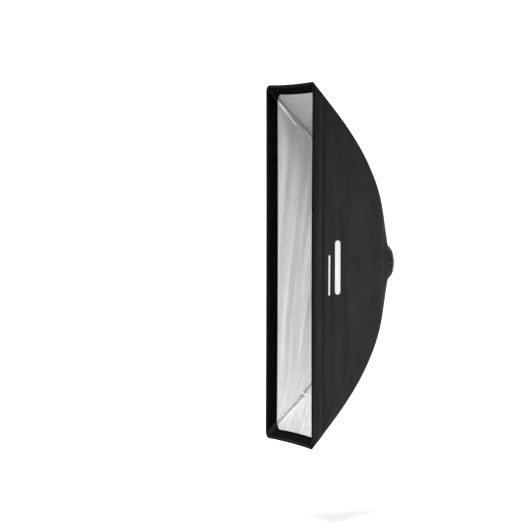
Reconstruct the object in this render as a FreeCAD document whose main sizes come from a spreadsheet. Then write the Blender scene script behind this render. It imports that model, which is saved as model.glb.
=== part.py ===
import FreeCAD, Part
import Sketcher
import math
import os
from FreeCAD import Vector, Placement, Rotation

# Strip softbox, 350 x 1400 mm, with a rotating bayonet speed ring.
# Row frame: origin at the centre of the ring's rear seat plane, +Y towards the lamp head,
# +Z up the long way of the box.  Light leaves towards -Y.

doc = FreeCAD.newDocument("StripSoftbox")
sheet = doc.addObject("Spreadsheet::Sheet", "Params")
_row = [0]


def cell(alias, value, note=""):
    _row[0] += 1
    r = _row[0]
    sheet.set("A%d" % r, alias)
    sheet.set("B%d" % r, str(value))
    sheet.setAlias("B%d" % r, alias)
    if note:
        sheet.set("C%d" % r, note)


# --- driving dimensions, millimetres and degrees -------------------------------------------
cell("front_depth", 447.0, "front edge to seat plane")
cell("half_width", 175.0)
cell("half_height", 700.0)
# seam stations: distance behind the front edge, half width and half height of the tent there
STATIONS = [
    ("a", -30.0, 178.2, 728.5),
    ("b", 0.0, 175.0, 700.0),
    ("c", 60.0, 168.3, 640.0),
    ("d", 121.0, 160.8, 580.0),
    ("e", 185.0, 151.5, 512.0),
    ("f", 245.0, 140.5, 440.0),
    ("g", 294.0, 128.0, 370.0),
    ("h", 335.0, 114.5, 300.0),
    ("i", 366.5, 99.0, 230.0),
    ("j", 391.0, 82.0, 160.0),
    ("k", 408.3, 69.3, 110.0),
    ("l", 424.6, 57.0, 60.0),
    ("m", 433.2, 50.4, 33.0),
]
for s, d, hw, hh in STATIONS:
    cell("seam_depth_" + s, d)
    cell("seam_width_" + s, hw)
    cell("seam_height_" + s, hh)
cell("cloth_thick", 1.2)
cell("lining_gap", 0.4)
cell("lining_thick", 1.0)
cell("lip_gap", 0.4)
cell("lip_thick", 1.2)
cell("tape_gap", 0.2)
cell("tape_thick", 1.2)
cell("corner_gap", 0.3)
cell("lip_depth_side", 46.5)
cell("lip_depth_end", 33.0)
cell("tape_front_side", 9.0)
cell("tape_back_side", 34.0)
cell("tape_front_end", 7.0)
cell("tape_back_end", 24.0)
cell("binding_thick", 2.4)
cell("binding_width", 7.0)
cell("binding_radius", 6.0)
cell("seam_bead_dia", 2.4)
cell("seam_bead_inset", 4.05)
cell("rod_dia", 6.0)
cell("rod_inset", 8.2)
cell("rod_tip_inset", 9.1)
cell("rod_tip_depth", 12.0)
cell("tip_cap_dia", 9.0)
cell("tip_cap_length", 24.0)
cell("pocket_leg", 27.0)
cell("pocket_thick", 1.2)
cell("pocket_front", 3.0)
cell("pocket_back", 46.0)
cell("tab_depth", 157.0)
cell("tab_width", 13.0)
cell("tab_reach", 78.0)
cell("tab_thick", 0.8)
cell("snap_dia", 9.0)
cell("snap_height", 2.6)
# bayonet plate
cell("lamp_bore_dia", 91.0)
cell("collar_dia", 98.0)
cell("collar_out", 12.0)
cell("lug_dia", 112.0)
cell("lug_thick", 3.0)
cell("lug_angle", 36.0)
cell("plate_dia", 136.0)
cell("plate_front", 11.0)
cell("plate_back", 4.0)
cell("seat_in_dia", 115.0)
cell("seat_out_dia", 124.0)
# rod ring
cell("ring_dia", 150.0)
cell("ring_bore_dia", 120.0)
cell("ring_front", 24.0)
cell("ring_back", 4.0)
cell("ledge_back", 12.3)
cell("counterbore_dia", 136.2)
cell("boss_dia", 13.0)
cell("liner_dia", 9.8)
cell("liner_bore_dia", 6.4)
cell("socket_length", 27.0)
cell("socket_mouth_radius", 71.4)
cell("glide_in_dia", 121.0)
cell("glide_out_dia", 135.4)
cell("glide_front", 12.2)
cell("glide_back", 11.1)
cell("retainer_in_dia", 125.4)
cell("retainer_out_dia", 146.0)
cell("retainer_front", 3.9)
cell("retainer_back", 1.6)
cell("retainer_screw_pcd", 142.0)
cell("retainer_screw_count", 6)
cell("retainer_screw_dia", 2.5)
cell("retainer_head_dia", 4.4)
# lock screw
cell("lock_axis_depth", 7.5)
cell("lock_boss_dia", 12.0)
cell("lock_boss_radius", 84.0)
cell("lock_dia", 5.0)
cell("lock_hole_dia", 5.12)
cell("pad_radius_in", 68.1)
cell("pad_radius_out", 72.0)
cell("pad_dia", 4.9)
cell("knob_dia", 20.0)
cell("knob_start", 91.0)
cell("knob_length", 15.0)
cell("flute_dia", 5.0)
cell("flute_count", 8)
# rear collar of the cloth
cell("collar_cloth_in", 75.3)
cell("collar_cloth_out", 76.9)
cell("collar_cloth_back", 11.0)
cell("collar_notch_width", 17.0)
cell("collar_notch_depth", 15.5)
cell("tent_hole_radius", 77.2)
cell("elastic_in", 77.1)
cell("elastic_out", 78.4)
cell("elastic_front", 19.4)
cell("elastic_back", 15.0)
# access flaps near the ring, on the two short walls
cell("flap_half_width", 44.0)
cell("flap_top_height", 228.0)
cell("flap_low_height", 112.0)
cell("slot_half_width", 31.0)
cell("slot_top_height", 210.0)
cell("slot_low_height", 130.0)
cell("flap_tape_height", 126.0)
cell("collar_trim_inset", 3.0)
doc.recompute()


def P(alias):
    return float(sheet.get(alias))


class Dim:
    """A length that carries its sheet expression and its present value."""

    def __init__(self, text, value):
        self.text, self.value = text, float(value)

    def __add__(self, o):
        o = dim(o)
        return Dim("(%s)+(%s)" % (self.text, o.text), self.value + o.value)

    def __sub__(self, o):
        o = dim(o)
        return Dim("(%s)-(%s)" % (self.text, o.text), self.value - o.value)

    def __mul__(self, k):
        return Dim("(%s)*(%s)" % (self.text, k), self.value * k)

    def __truediv__(self, k):
        return Dim("(%s)/(%s)" % (self.text, k), self.value / k)

    def __neg__(self):
        return Dim("-(%s)" % self.text, -self.value)


def dim(x):
    return x if isinstance(x, Dim) else Dim(str(float(x)), x)


def S(alias):
    return Dim("Params." + alias, P(alias))


def bind(obj, prop, d):
    obj.setExpression(prop, dim(d).text)


DEPTH = P("front_depth")

# --- seam curves ---------------------------------------------------------------------------


def base_points(kind):
    key = "seam_height_" if kind == "yz" else "seam_width_"
    return [
        Vector(P("seam_depth_" + s[0]) - DEPTH, P(key + s[0]), 0) for s in STATIONS
    ]


def flat_curve(kind, inset):
    """The wall's line in its own plane (depth, half size), moved inwards by inset."""
    pts = base_points(kind)
    c = Part.BSplineCurve()
    c.interpolate(pts)
    if abs(inset) < 1e-9:
        return c
    moved = []
    for p in pts:
        t = c.tangent(c.parameter(p))[0]
        n = Vector(-t.y, t.x, 0)
        if n.y < 0:
            n = n * -1
        moved.append(p - n * inset)
    o = Part.BSplineCurve()
    o.interpolate(moved)
    return o


def param_at(curve, depth):
    lo, hi = curve.FirstParameter, curve.LastParameter
    for _ in range(60):
        mid = (lo + hi) / 2
        if curve.value(mid).x < depth:
            lo = mid
        else:
            hi = mid
    return (lo + hi) / 2


def size_at(kind, inset, depth):
    c = flat_curve(kind, inset)
    return c.value(param_at(c, depth)).y


def cut_curve(kind, inset, y0, y1):
    c = flat_curve(kind, inset)
    c = c.copy()
    c.segment(param_at(c, y0), param_at(c, y1))
    return c


def placed(kind, sign):
    """Matrix that takes (depth, half size) into the row frame."""
    m = FreeCAD.Matrix()
    if kind == "yz":
        m.A11, m.A12, m.A13 = 0, 0, sign
        m.A21, m.A22, m.A23 = 1, 0, 0
        m.A31, m.A32, m.A33 = 0, sign, 0
    else:
        m.A11, m.A12, m.A13 = 0, sign, 0
        m.A21, m.A22, m.A23 = 1, 0, 0
        m.A31, m.A32, m.A33 = 0, 0, -sign
    return m


def strip_face(kind, sign, inset0, inset1, y0, y1):
    a, b = cut_curve(kind, inset0, y0, y1), cut_curve(kind, inset1, y0, y1)
    ea, eb = a.toShape(), b.toShape()
    l0 = Part.LineSegment(a.value(a.FirstParameter), b.value(b.FirstParameter)).toShape()
    l1 = Part.LineSegment(a.value(a.LastParameter), b.value(b.LastParameter)).toShape()
    wire = Part.Wire(Part.__sortEdges__([ea, l1, eb, l0]))
    face = Part.Face(wire)
    return move_flat(face, kind, sign)


def move_flat(shape, kind, sign):
    out = shape.copy()
    out.transformShape(placed(kind, sign), True)
    return out


def region_face(kind, inset, y0, y1):
    c = cut_curve(kind, inset, y0, y1)
    e = c.toShape()
    p0, p1 = c.value(c.FirstParameter), c.value(c.LastParameter)
    q0, q1 = Vector(p0.x, -p0.y, 0), Vector(p1.x, -p1.y, 0)
    m = FreeCAD.Matrix()
    m.A22, m.A33 = -1, -1
    e2 = e.copy()
    e2.transformShape(m, True)
    wire = Part.Wire(
        Part.__sortEdges__(
            [
                e,
                Part.LineSegment(p1, q1).toShape(),
                e2,
                Part.LineSegment(q0, p0).toShape(),
            ]
        )
    )
    return move_flat(Part.Face(wire), kind, 1)


# --- document helpers ----------------------------------------------------------------------
nodes = {}


def give(obj, label):
    obj.Label = label
    nodes[label] = obj
    return obj


def feature(name, shape):
    f = doc.addObject("Part::Feature", name)
    f.Shape = shape
    return f


def extrude(name, base, direction, length_expr):
    e = doc.addObject("Part::Extrusion", name)
    e.Base = base
    e.DirMode = "Custom"
    e.Dir = direction
    e.Solid = True
    e.Symmetric = True
    e.setExpression("LengthFwd", length_expr)
    return e


def common(name, a, b):
    o = doc.addObject("Part::Common", name)
    o.Base, o.Tool = a, b
    return o


def cut(name, a, b):
    o = doc.addObject("Part::Cut", name)
    o.Base, o.Tool = a, b
    return o


def cylinder_y(name, radius_expr, y0_expr, length_expr):
    """Cylinder about the Y axis, from depth y0 towards +Y."""
    c = doc.addObject("Part::Cylinder", name)
    c.setExpression("Radius", radius_expr)
    c.setExpression("Height", length_expr)
    c.Placement = Placement(Vector(0, 0, 0), Rotation(Vector(1, 0, 0), -90))
    c.setExpression("Placement.Base.y", y0_expr)
    return c


def cylinder_z(name, radius_expr, z0_expr, length_expr, y_expr):
    """Cylinder pointing down, from height z0."""
    c = doc.addObject("Part::Cylinder", name)
    c.setExpression("Radius", radius_expr)
    c.setExpression("Height", length_expr)
    c.Placement = Placement(Vector(0, 0, 0), Rotation(Vector(1, 0, 0), 180))
    c.setExpression("Placement.Base.y", y_expr)
    c.setExpression("Placement.Base.z", z0_expr)
    return c


def body(name, label):
    b = doc.addObject("PartDesign::Body", name)
    give(b, label)
    return b


def plane_of(b, role):
    for f in b.Origin.OriginFeatures:
        if f.Role == role:
            return f


def profile(b, name, role, pts, offset=None):
    """Closed polygon sketch; every corner is held from the origin by two sheet expressions."""
    sk = b.newObject("Sketcher::SketchObject", name)
    sk.AttachmentSupport = (plane_of(b, role), [""])
    sk.MapMode = "FlatFace"
    if offset is not None:
        sk.AttachmentOffset = Placement(Vector(0, 0, 0), Rotation())
        bind(sk, "AttachmentOffset.Base.z", offset)
    pts = [(dim(ex), dim(ey)) for ex, ey in pts]
    values = [Vector(ex.value, ey.value, 0) for ex, ey in pts]
    n = len(values)
    for i in range(n):
        sk.addGeometry(Part.LineSegment(values[i], values[(i + 1) % n]), False)
    for i in range(n):
        sk.addConstraint(Sketcher.Constraint("Coincident", i, 2, (i + 1) % n, 1))
    for i, (ex, ey) in enumerate(pts):
        for kind, e, v in (("DistanceX", ex, values[i].x), ("DistanceY", ey, values[i].y)):
            if abs(v) < 1e-9:
                axis = -2 if kind == "DistanceX" else -1
                sk.addConstraint(Sketcher.Constraint("PointOnObject", i, 1, axis))
            else:
                k = sk.addConstraint(Sketcher.Constraint(kind, -1, 1, i, 1, v))
                bind(sk, "Constraints[%d]" % k, e)
    return sk


def revolve(b, name, sk, angle=360.0, mid=False, axis="V_Axis", angle_expr=None):
    r = b.newObject("PartDesign::Revolution", name)
    r.Profile = sk
    r.ReferenceAxis = (sk, [axis])
    r.Angle = angle
    r.Midplane = mid
    if angle_expr:
        r.setExpression("Angle", angle_expr)
    return r


def pocket_into(b, name, sk, length, before):
    """Pocket that is turned round if it would cut nothing."""
    p = b.newObject("PartDesign::Pocket", name)
    p.Profile = sk
    p.Type = 0
    p.Length = length
    doc.recompute()
    if abs(p.Shape.Volume - before.Shape.Volume) < 0.5:
        p.Reversed = True
        doc.recompute()
    return p


def pattern(b, name, feats, axis_role, count_expr, start=6):
    axis = None
    for f in b.Origin.OriginFeatures:
        if f.Role == axis_role:
            axis = f
    pp = b.newObject("PartDesign::PolarPattern", name)
    pp.Originals = feats
    pp.Axis = (axis, [""])
    pp.Angle = 360
    pp.Occurrences = start
    if count_expr:
        pp.setExpression("Occurrences", count_expr)
    b.Tip = pp
    return pp


# --- cloth walls ---------------------------------------------------------------------------
FRONT = -DEPTH
BACK = -DEPTH + P("seam_depth_m") - 1.5
c0 = 0.0
c1 = P("cloth_thick")
l0 = c1 + P("lining_gap")
l1 = l0 + P("lining_thick")
p0 = l1 + P("lip_gap")
p1 = p0 + P("lip_thick")
t0 = p1 + P("tape_gap")
t1 = t0 + P("tape_thick")
gap = P("corner_gap")

tent_hole = cylinder_y(
    "TentHole", "Params.tent_hole_radius", "-80", "90"
)


def end_wall(label, sign, inset0, inset1, y0, y1, side_inset, tools=()):
    """A short wall: curved in the depth-height plane, straight across the width."""
    f = feature(label + "_section", strip_face("yz", sign, inset0, inset1, y0, y1))
    e = extrude(label + "_sheet", f, Vector(1, 0, 0), "2*Params.half_width+20")
    g = feature(label + "_plan", region_face("xy", side_inset, y0 - 5, y1 + 0.5 if y1 + 0.5 < BACK + 1 else y1))
    h = extrude(label + "_limit", g, Vector(0, 0, 1), "2*Params.half_height+40")
    o = common(label + "_cloth", e, h)
    for k, t in enumerate(tools):
        o = cut("%s_trim%d" % (label, k), o, t)
    return give(o, label)


def side_wall(label, sign, inset0, inset1, y0, y1, end_inset, tools=()):
    """A long wall: curved in the depth-width plane, straight up the height."""
    f = feature(label + "_section", strip_face("xy", sign, inset0, inset1, y0, y1))
    e = extrude(label + "_sheet", f, Vector(0, 0, 1), "2*Params.half_height+20")
    g = feature(label + "_outline", region_face("yz", end_inset, y0 - 5, y1 + 0.5 if y1 + 0.5 < BACK + 1 else y1))
    h = extrude(label + "_limit", g, Vector(1, 0, 0), "2*Params.half_width+20")
    o = common(label + "_cloth", e, h)
    for k, t in enumerate(tools):
        o = cut("%s_trim%d" % (label, k), o, t)
    return give(o, label)


# access slot through both short walls
slot = doc.addObject("Part::Box", "AccessSlot")
slot.setExpression("Length", "2*Params.slot_half_width")
slot.setExpression("Width", "120")
slot.setExpression("Height", "Params.slot_top_height-Params.slot_low_height")
slot.setExpression("Placement.Base.x", "-Params.slot_half_width")
slot.setExpression("Placement.Base.y", "-130")
slot.setExpression("Placement.Base.z", "Params.slot_low_height")
slot_low = doc.addObject("Part::Box", "AccessSlotLow")
slot_low.setExpression("Length", "2*Params.slot_half_width")
slot_low.setExpression("Width", "120")
slot_low.setExpression("Height", "Params.slot_top_height-Params.slot_low_height")
slot_low.setExpression("Placement.Base.x", "-Params.slot_half_width")
slot_low.setExpression("Placement.Base.y", "-130")
slot_low.setExpression("Placement.Base.z", "-Params.slot_top_height")

for label, sg in (("side_panel_right", 1), ("side_panel_left", -1)):
    side_wall(label, sg, c0, c1, FRONT, BACK, c0, (tent_hole,))
for label, sg, sl in (("top_panel", 1, slot), ("bottom_panel", -1, slot_low)):
    end_wall(label, sg, c0, c1, FRONT, BACK, c1 + gap, (tent_hole, sl))
for label, sg in (("side_lining_right", 1), ("side_lining_left", -1)):
    side_wall(label, sg, l0, l1, FRONT, BACK, l0, (tent_hole,))
for label, sg, sl in (("top_lining", 1, slot), ("bottom_lining", -1, slot_low)):
    end_wall(label, sg, l0, l1, FRONT, BACK, l1 + gap, (tent_hole, sl))
# light-tight lip inside the front edge, and the loop tape on it
lip_s = FRONT + P("lip_depth_side")
lip_e = FRONT + P("lip_depth_end")
for label, sg in (("front_lip_right", 1), ("front_lip_left", -1)):
    side_wall(label, sg, p0, p1, FRONT, lip_s, p0)
for label, sg in (("front_lip_top", 1), ("front_lip_bottom", -1)):
    end_wall(label, sg, p0, p1, FRONT, lip_e, p1 + gap)
for label, sg in (("loop_tape_right", 1), ("loop_tape_left", -1)):
    side_wall(
        label, sg, t0, t1,
        FRONT + P("tape_front_side"), FRONT + P("tape_back_side"), 40.0,
    )
for label, sg in (("loop_tape_top", 1), ("loop_tape_bottom", -1)):
    end_wall(
        label, sg, t0, t1,
        FRONT + P("tape_front_end"), FRONT + P("tape_back_end"), 38.0,
    )

# --- front edge binding --------------------------------------------------------------------
fb = body("FrontBinding", "front_binding")
out = [
    (-S("half_width")-1, -S("half_height")-1),
    (S("half_width")+1, -S("half_height")-1),
    (S("half_width")+1, S("half_height")+1),
    (-S("half_width")-1, S("half_height")+1),
]
inn = [
    (-S("half_width")+S("binding_width"), -S("half_height")+S("binding_width")),
    (S("half_width")-S("binding_width"), -S("half_height")+S("binding_width")),
    (S("half_width")-S("binding_width"), S("half_height")-S("binding_width")),
    (-S("half_width")+S("binding_width"), S("half_height")-S("binding_width")),
]
sk = profile(fb, "BindingOutline", "XZ_Plane", out, offset=S("front_depth") + 0.1)
pad = fb.newObject("PartDesign::Pad", "BindingPad")
pad.Profile = sk
pad.setExpression("Length", "Params.binding_thick")
doc.recompute()
sk = profile(fb, "BindingOpening", "XZ_Plane", inn, offset=S("front_depth") - 5)
pk = fb.newObject("PartDesign::Pocket", "BindingPocket")
pk.Profile = sk
pk.Type = 0
pk.Length = 20
pk.Reversed = True
doc.recompute()
corner_edges = []
for i, e in enumerate(pk.Shape.Edges):
    if len(e.Vertexes) == 2:
        a, b_ = e.Vertexes[0].Point, e.Vertexes[1].Point
        if abs(a.x - b_.x) < 1e-6 and abs(a.z - b_.z) < 1e-6 and abs(a.x) > P("half_width"):
            corner_edges.append("Edge%d" % (i + 1))
fl = fb.newObject("PartDesign::Fillet", "BindingCorners")
fl.Base = (pk, corner_edges)
fl.setExpression("Radius", "Params.binding_radius")
fb.Tip = fl


# --- rods, their caps and the corner pockets -----------------------------------------------
def seam_point(inset, depth, sx=1, sz=1):
    return Vector(sx * size_at("xy", inset, depth), depth, sz * size_at("yz", inset, depth))


def seam_tangent(inset, depth, sx=1, sz=1):
    a, b_ = seam_point(inset, depth - 0.5, sx, sz), seam_point(inset, depth + 0.5, sx, sz)
    return (b_ - a).normalize()


ri = P("rod_inset")
ROD_JOIN = FRONT + 392.0  # behind this the rod is straight, into its socket
ROD_DEPTHS = [
    FRONT + d for d in (P("rod_tip_depth"), 40, 75, 115, 160, 210, 258, 300, 335, 365, 392.0)
]


def rod_inset(depth):
    """The rod stands a little further in at its tip, inside the pocket, than along the seam."""
    k = min(max((depth - FRONT - 30.0) / 85.0, 0.0), 1.0)
    k = k * k * (3 - 2 * k)
    return P("rod_tip_inset") + (ri - P("rod_tip_inset")) * k


def socket_line(sx, sz):
    """A point on the socket's axis at its mouth, and the way in."""
    join = seam_point(ri, ROD_JOIN, sx, sz)
    way = seam_tangent(ri, ROD_JOIN, sx, sz)
    lo, hi = 0.0, 140.0
    rm = P("socket_mouth_radius")
    for _ in range(60):
        mid = (lo + hi) / 2
        p = join + way * mid
        if math.hypot(p.x, p.z) > rm:
            lo = mid
        else:
            hi = mid
    return join + way * lo, way


def spline_wire(pts, first, last):
    c = Part.BSplineCurve()
    c.interpolate(Points=pts, InitialTangent=first, FinalTangent=last)
    return c


def sweep(name, wire_shape, radius_expr):
    spine = feature(name + "_path", wire_shape)
    e = wire_shape.Edges[0]
    circ = doc.addObject("Part::Circle", name + "_section")
    circ.setExpression("Radius", radius_expr)
    start = e.valueAt(e.FirstParameter)
    way = e.tangentAt(e.FirstParameter)
    circ.Placement = Placement(start, Rotation(Vector(0, 0, 1), way))
    s = doc.addObject("Part::Sweep", name)
    s.Sections = [circ]
    s.Spine = (spine, ["Edge%d" % (i + 1) for i in range(len(wire_shape.Edges))])
    s.Solid = True
    s.Frenet = False
    return s


CORNERS = {
    "upper_right": (1, 1),
    "upper_left": (-1, 1),
    "lower_right": (1, -1),
    "lower_left": (-1, -1),
}
rod_in = P("socket_length") - 2.5
caps = []
for where, (sx, sz) in CORNERS.items():
    pts = [seam_point(rod_inset(d), d, sx, sz) for d in ROD_DEPTHS]
    mouth, way = socket_line(sx, sz)
    curve = spline_wire(pts, seam_tangent(P("rod_tip_inset"), ROD_DEPTHS[0], sx, sz), way)
    end = mouth + way * rod_in
    wire = Part.Wire([curve.toShape(), Part.LineSegment(pts[-1], end).toShape()])
    rod = sweep("Rod_" + where, wire, "Params.rod_dia/2")
    give(rod, "rod_" + where)
    # moulded cap over the rod's front end, tapered, with a domed nose
    nose = pts[0]
    axis = seam_tangent(P("rod_tip_inset"), ROD_DEPTHS[0], sx, sz) * -1.0
    rc, rr, ln = P("tip_cap_dia") / 2, P("rod_dia") / 2 + 0.05, P("tip_cap_length")
    base = nose - axis * (ln - 7.0)
    outer = Part.makeCone(rc - 0.8, rc, ln - 4.5, base, axis)
    dome = Part.makeSphere(rc, base + axis * (ln - 4.5), axis, 0, 90, 360)
    bore = Part.makeCylinder(rr, ln - 6.9, base - axis * 0.01, axis)
    caps.append(outer.fuse(dome).removeSplitter().cut(bore))
give(feature("RodTipCaps", Part.Compound(caps)), "rod_tip_caps")


def pocket(sx, sz):
    leg, th = P("pocket_leg"), P("pocket_thick")
    inset = p1 + 0.3
    rings = []
    for d in (FRONT + P("pocket_front"), FRONT + 24.0, FRONT + P("pocket_back")):
        x = size_at("xy", inset, d)
        z = size_at("yz", inset, d)
        k = th * math.sqrt(2)
        quad = [
            Vector(sx * x, d, sz * (z - leg)),
            Vector(sx * (x - leg), d, sz * z),
            Vector(sx * (x - leg - k), d, sz * z),
            Vector(sx * x, d, sz * (z - leg - k)),
        ]
        rings.append(Part.makePolygon(quad + [quad[0]]))
    return Part.makeLoft(rings, True, True)


give(
    feature("CornerPockets", Part.Compound([pocket(sx, sz) for sx, sz in CORNERS.values()])),
    "corner_pockets",
)

# rolled seam inside each corner of the tent
beads = []
for sx, sz in CORNERS.values():
    ds = [FRONT + d for d in (49, 90, 135, 180, 225, 265, 305, 340, 372, 398)]
    ins = P("seam_bead_inset")
    c = spline_wire(
        [seam_point(ins, d, sx, sz) for d in ds],
        seam_tangent(ins, ds[0], sx, sz),
        seam_tangent(ins, ds[-1], sx, sz),
    )
    w = Part.Wire([c.toShape()])
    e = w.Edges[0]
    prof = Part.Wire(
        [Part.Circle(e.valueAt(e.FirstParameter), e.tangentAt(e.FirstParameter), P("seam_bead_dia") / 2).toShape()]
    )
    beads.append(w.makePipeShell([prof], True, False))
give(feature("SeamBindings", Part.Compound(beads)), "seam_bindings")

# webbing straps over the rods, across the short walls, with the studs of an inner baffle


def band(path, thick):
    """Outline of a strip of even thickness along a polyline, mitred at the bends."""
    left, right = [], []
    n = len(path)
    for k in range(n):
        a = path[max(k - 1, 0)]
        b_ = path[min(k + 1, n - 1)]
        p = path[k]
        d0 = (p - a).normalize() if k > 0 else (b_ - p).normalize()
        d1 = (b_ - p).normalize() if k < n - 1 else d0
        n0, n1 = Vector(-d0.y, d0.x, 0), Vector(-d1.y, d1.x, 0)
        m = (n0 + n1).normalize()
        q = m * (thick / 2 / max(m.dot(n0), 0.2))
        left.append(p + q)
        right.append(p - q)
    return left + right[::-1]


tabs, snaps = [], []
for sx, sz in CORNERS.values():
    d = FRONT + P("tab_depth")
    centre = seam_point(ri, d, sx, sz)
    along = seam_tangent(ri, d, sx, sz)
    across = Vector(-sx, 0, 0)
    across = (across - along * across.dot(along)).normalize()
    inward = along.cross(across)
    if inward.z * sz > 0:
        inward = inward * -1.0
    inward.normalize()
    w, reach, th = P("tab_width"), P("tab_reach"), P("tab_thick")
    wall = ri - l1  # from the rod's axis to the lining
    rr = P("rod_dia") / 2
    low = -wall + 0.4 + th / 2
    path = [
        Vector(-wall + 0.8, -1.5, 0),
        Vector(-wall + 0.8, rr - 0.6, 0),
        Vector(-rr + 0.4, rr + 0.9, 0),
        Vector(rr - 0.4, rr + 0.9, 0),
        Vector(rr + 6.5, low, 0),
        Vector(reach, low, 0),
    ]
    ring_pts = [centre + across * q.x + inward * q.y - along * (w / 2) for q in band(path, th)]
    tabs.append(Part.Face(Part.makePolygon(ring_pts + [ring_pts[0]])).extrude(along * w))
    foot = centre + across * (reach - 9.0) + inward * (low + th / 2 + 0.05)
    snaps.append(
        Part.makeCylinder(P("snap_dia") / 2, P("snap_height") * 0.45, foot, inward).fuse(
            Part.makeCylinder(P("snap_dia") / 4, P("snap_height"), foot, inward)
        )
    )
give(feature("TieTabs", Part.Compound(tabs)), "tie_tabs")
give(feature("TabSnaps", Part.Compound(snaps)), "tab_snaps")

# --- bayonet plate, the part that goes on the lamp head -------------------------------------
mp = body("MountPlate", "mount_plate")
sk = profile(
    mp, "PlateSection", "XY_Plane",
    [
        (S("lamp_bore_dia")/2, -S("plate_front")),
        (S("plate_dia")/2, -S("plate_front")),
        (S("plate_dia")/2, -S("plate_back")),
        (S("seat_out_dia")/2, -S("plate_back")),
        (S("seat_out_dia")/2, 0),
        (S("seat_in_dia")/2, 0),
        (S("seat_in_dia")/2, -S("plate_back")),
        (S("collar_dia")/2, -S("plate_back")),
        (S("collar_dia")/2, S("collar_out")),
        (S("lamp_bore_dia")/2, S("collar_out")),
    ],
)
rev = revolve(mp, "PlateRevolve", sk)
doc.recompute()
sk = profile(
    mp, "LugSection", "XY_Plane",
    [
        (S("collar_dia")/2-0.5, S("collar_out")-S("lug_thick")),
        (S("lug_dia")/2, S("collar_out")-S("lug_thick")),
        (S("lug_dia")/2, S("collar_out")),
        (S("collar_dia")/2-0.5, S("collar_out")),
    ],
)
lug = revolve(mp, "LugRevolve", sk, 36.0, True, angle_expr="Params.lug_angle")
doc.recompute()
pattern(mp, "Lugs", [lug], "Y_Axis", None, 3)
doc.recompute()

# --- rod ring --------------------------------------------------------------------------------
rg = body("RodRing", "rod_ring")
sk = profile(
    rg, "RingSection", "XY_Plane",
    [
        (S("ring_bore_dia")/2, -S("ring_front")),
        (S("ring_dia")/2, -S("ring_front")),
        (S("ring_dia")/2, -S("ring_back")),
        (S("counterbore_dia")/2, -S("ring_back")),
        (S("counterbore_dia")/2, -S("ledge_back")),
        (S("ring_bore_dia")/2, -S("ledge_back")),
    ],
)
revolve(rg, "RingRevolve", sk)
doc.recompute()
for where, (sx, sz) in CORNERS.items():
    mouth, way = socket_line(sx, sz)
    bc = rg.newObject("PartDesign::AdditiveCylinder", "Boss_" + where)
    bc.setExpression("Radius", "Params.boss_dia/2")
    bc.setExpression("Height", "Params.socket_length")
    bc.Placement = Placement(mouth, Rotation(Vector(0, 0, 1), way))
    doc.recompute()
lb = rg.newObject("PartDesign::AdditiveCylinder", "LockBoss")
lb.setExpression("Radius", "Params.lock_boss_dia/2")
lb.setExpression("Height", "Params.lock_boss_radius-Params.ring_dia/2+1")
lb.Placement = Placement(Vector(0, -P("lock_axis_depth"), -P("ring_dia") / 2 + 1), Rotation(Vector(1, 0, 0), 180))
doc.recompute()
for where, (sx, sz) in CORNERS.items():
    mouth, way = socket_line(sx, sz)
    hc = rg.newObject("PartDesign::SubtractiveCylinder", "Socket_" + where)
    hc.setExpression("Radius", "Params.liner_dia/2+0.1")
    hc.setExpression("Height", "Params.socket_length+4")
    hc.Placement = Placement(mouth - way * 6.0, Rotation(Vector(0, 0, 1), way))
    doc.recompute()
lh = rg.newObject("PartDesign::SubtractiveCylinder", "LockHole")
lh.setExpression("Radius", "Params.lock_hole_dia/2")
lh.setExpression("Height", "Params.lock_boss_radius-Params.counterbore_dia/2+6")
lh.Placement = Placement(
    Vector(0, -P("lock_axis_depth"), -P("counterbore_dia") / 2 + 3), Rotation(Vector(1, 0, 0), 180)
)
doc.recompute()
# tapped holes for the retainer's screws
sk = rg.newObject("Sketcher::SketchObject", "ScrewHoleSketch")
sk.AttachmentSupport = (plane_of(rg, "XZ_Plane"), [""])
sk.MapMode = "FlatFace"
sk.AttachmentOffset = Placement(Vector(0, 0, 0), Rotation())
g = sk.addGeometry(Part.Circle(Vector(P("retainer_screw_pcd") / 2, 0, 0), Vector(0, 0, 1), 1.3), False)
k = sk.addConstraint(Sketcher.Constraint("PointOnObject", g, 3, -1))
k = sk.addConstraint(Sketcher.Constraint("DistanceX", -1, 1, g, 3, P("retainer_screw_pcd") / 2))
sk.setExpression("Constraints[%d]" % k, "Params.retainer_screw_pcd/2")
k = sk.addConstraint(Sketcher.Constraint("Radius", g, P("retainer_screw_dia") / 2 + 0.05))
sk.setExpression("Constraints[%d]" % k, "Params.retainer_screw_dia/2+0.05")
doc.recompute()
ph = pocket_into(rg, "ScrewHole", sk, 12.0, lh)
pattern(rg, "ScrewHoles", [ph], "Y_Axis", "Params.retainer_screw_count", 6)
doc.recompute()

# liners in the four sockets
liners = []
for where, (sx, sz) in CORNERS.items():
    mouth, way = socket_line(sx, sz)
    start = mouth + way * 0.4
    ln = P("socket_length") - 0.8
    liners.append(
        Part.makeCylinder(P("liner_dia") / 2, ln - 2.0, start, way).cut(
            Part.makeCylinder(P("liner_bore_dia") / 2, ln, start - way * 0.5, way)
        )
    )
give(feature("SocketLiners", Part.Compound(liners)), "socket_liners")

# low-friction ring between plate and rod ring
ga = cylinder_y("GlideOuter", "Params.glide_out_dia/2", "-Params.glide_front", "Params.glide_front-Params.glide_back")
gb = cylinder_y("GlideInner", "Params.glide_in_dia/2", "-Params.glide_front-1", "Params.glide_front-Params.glide_back+2")
give(cut("GlideRing", ga, gb), "glide_ring")

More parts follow.
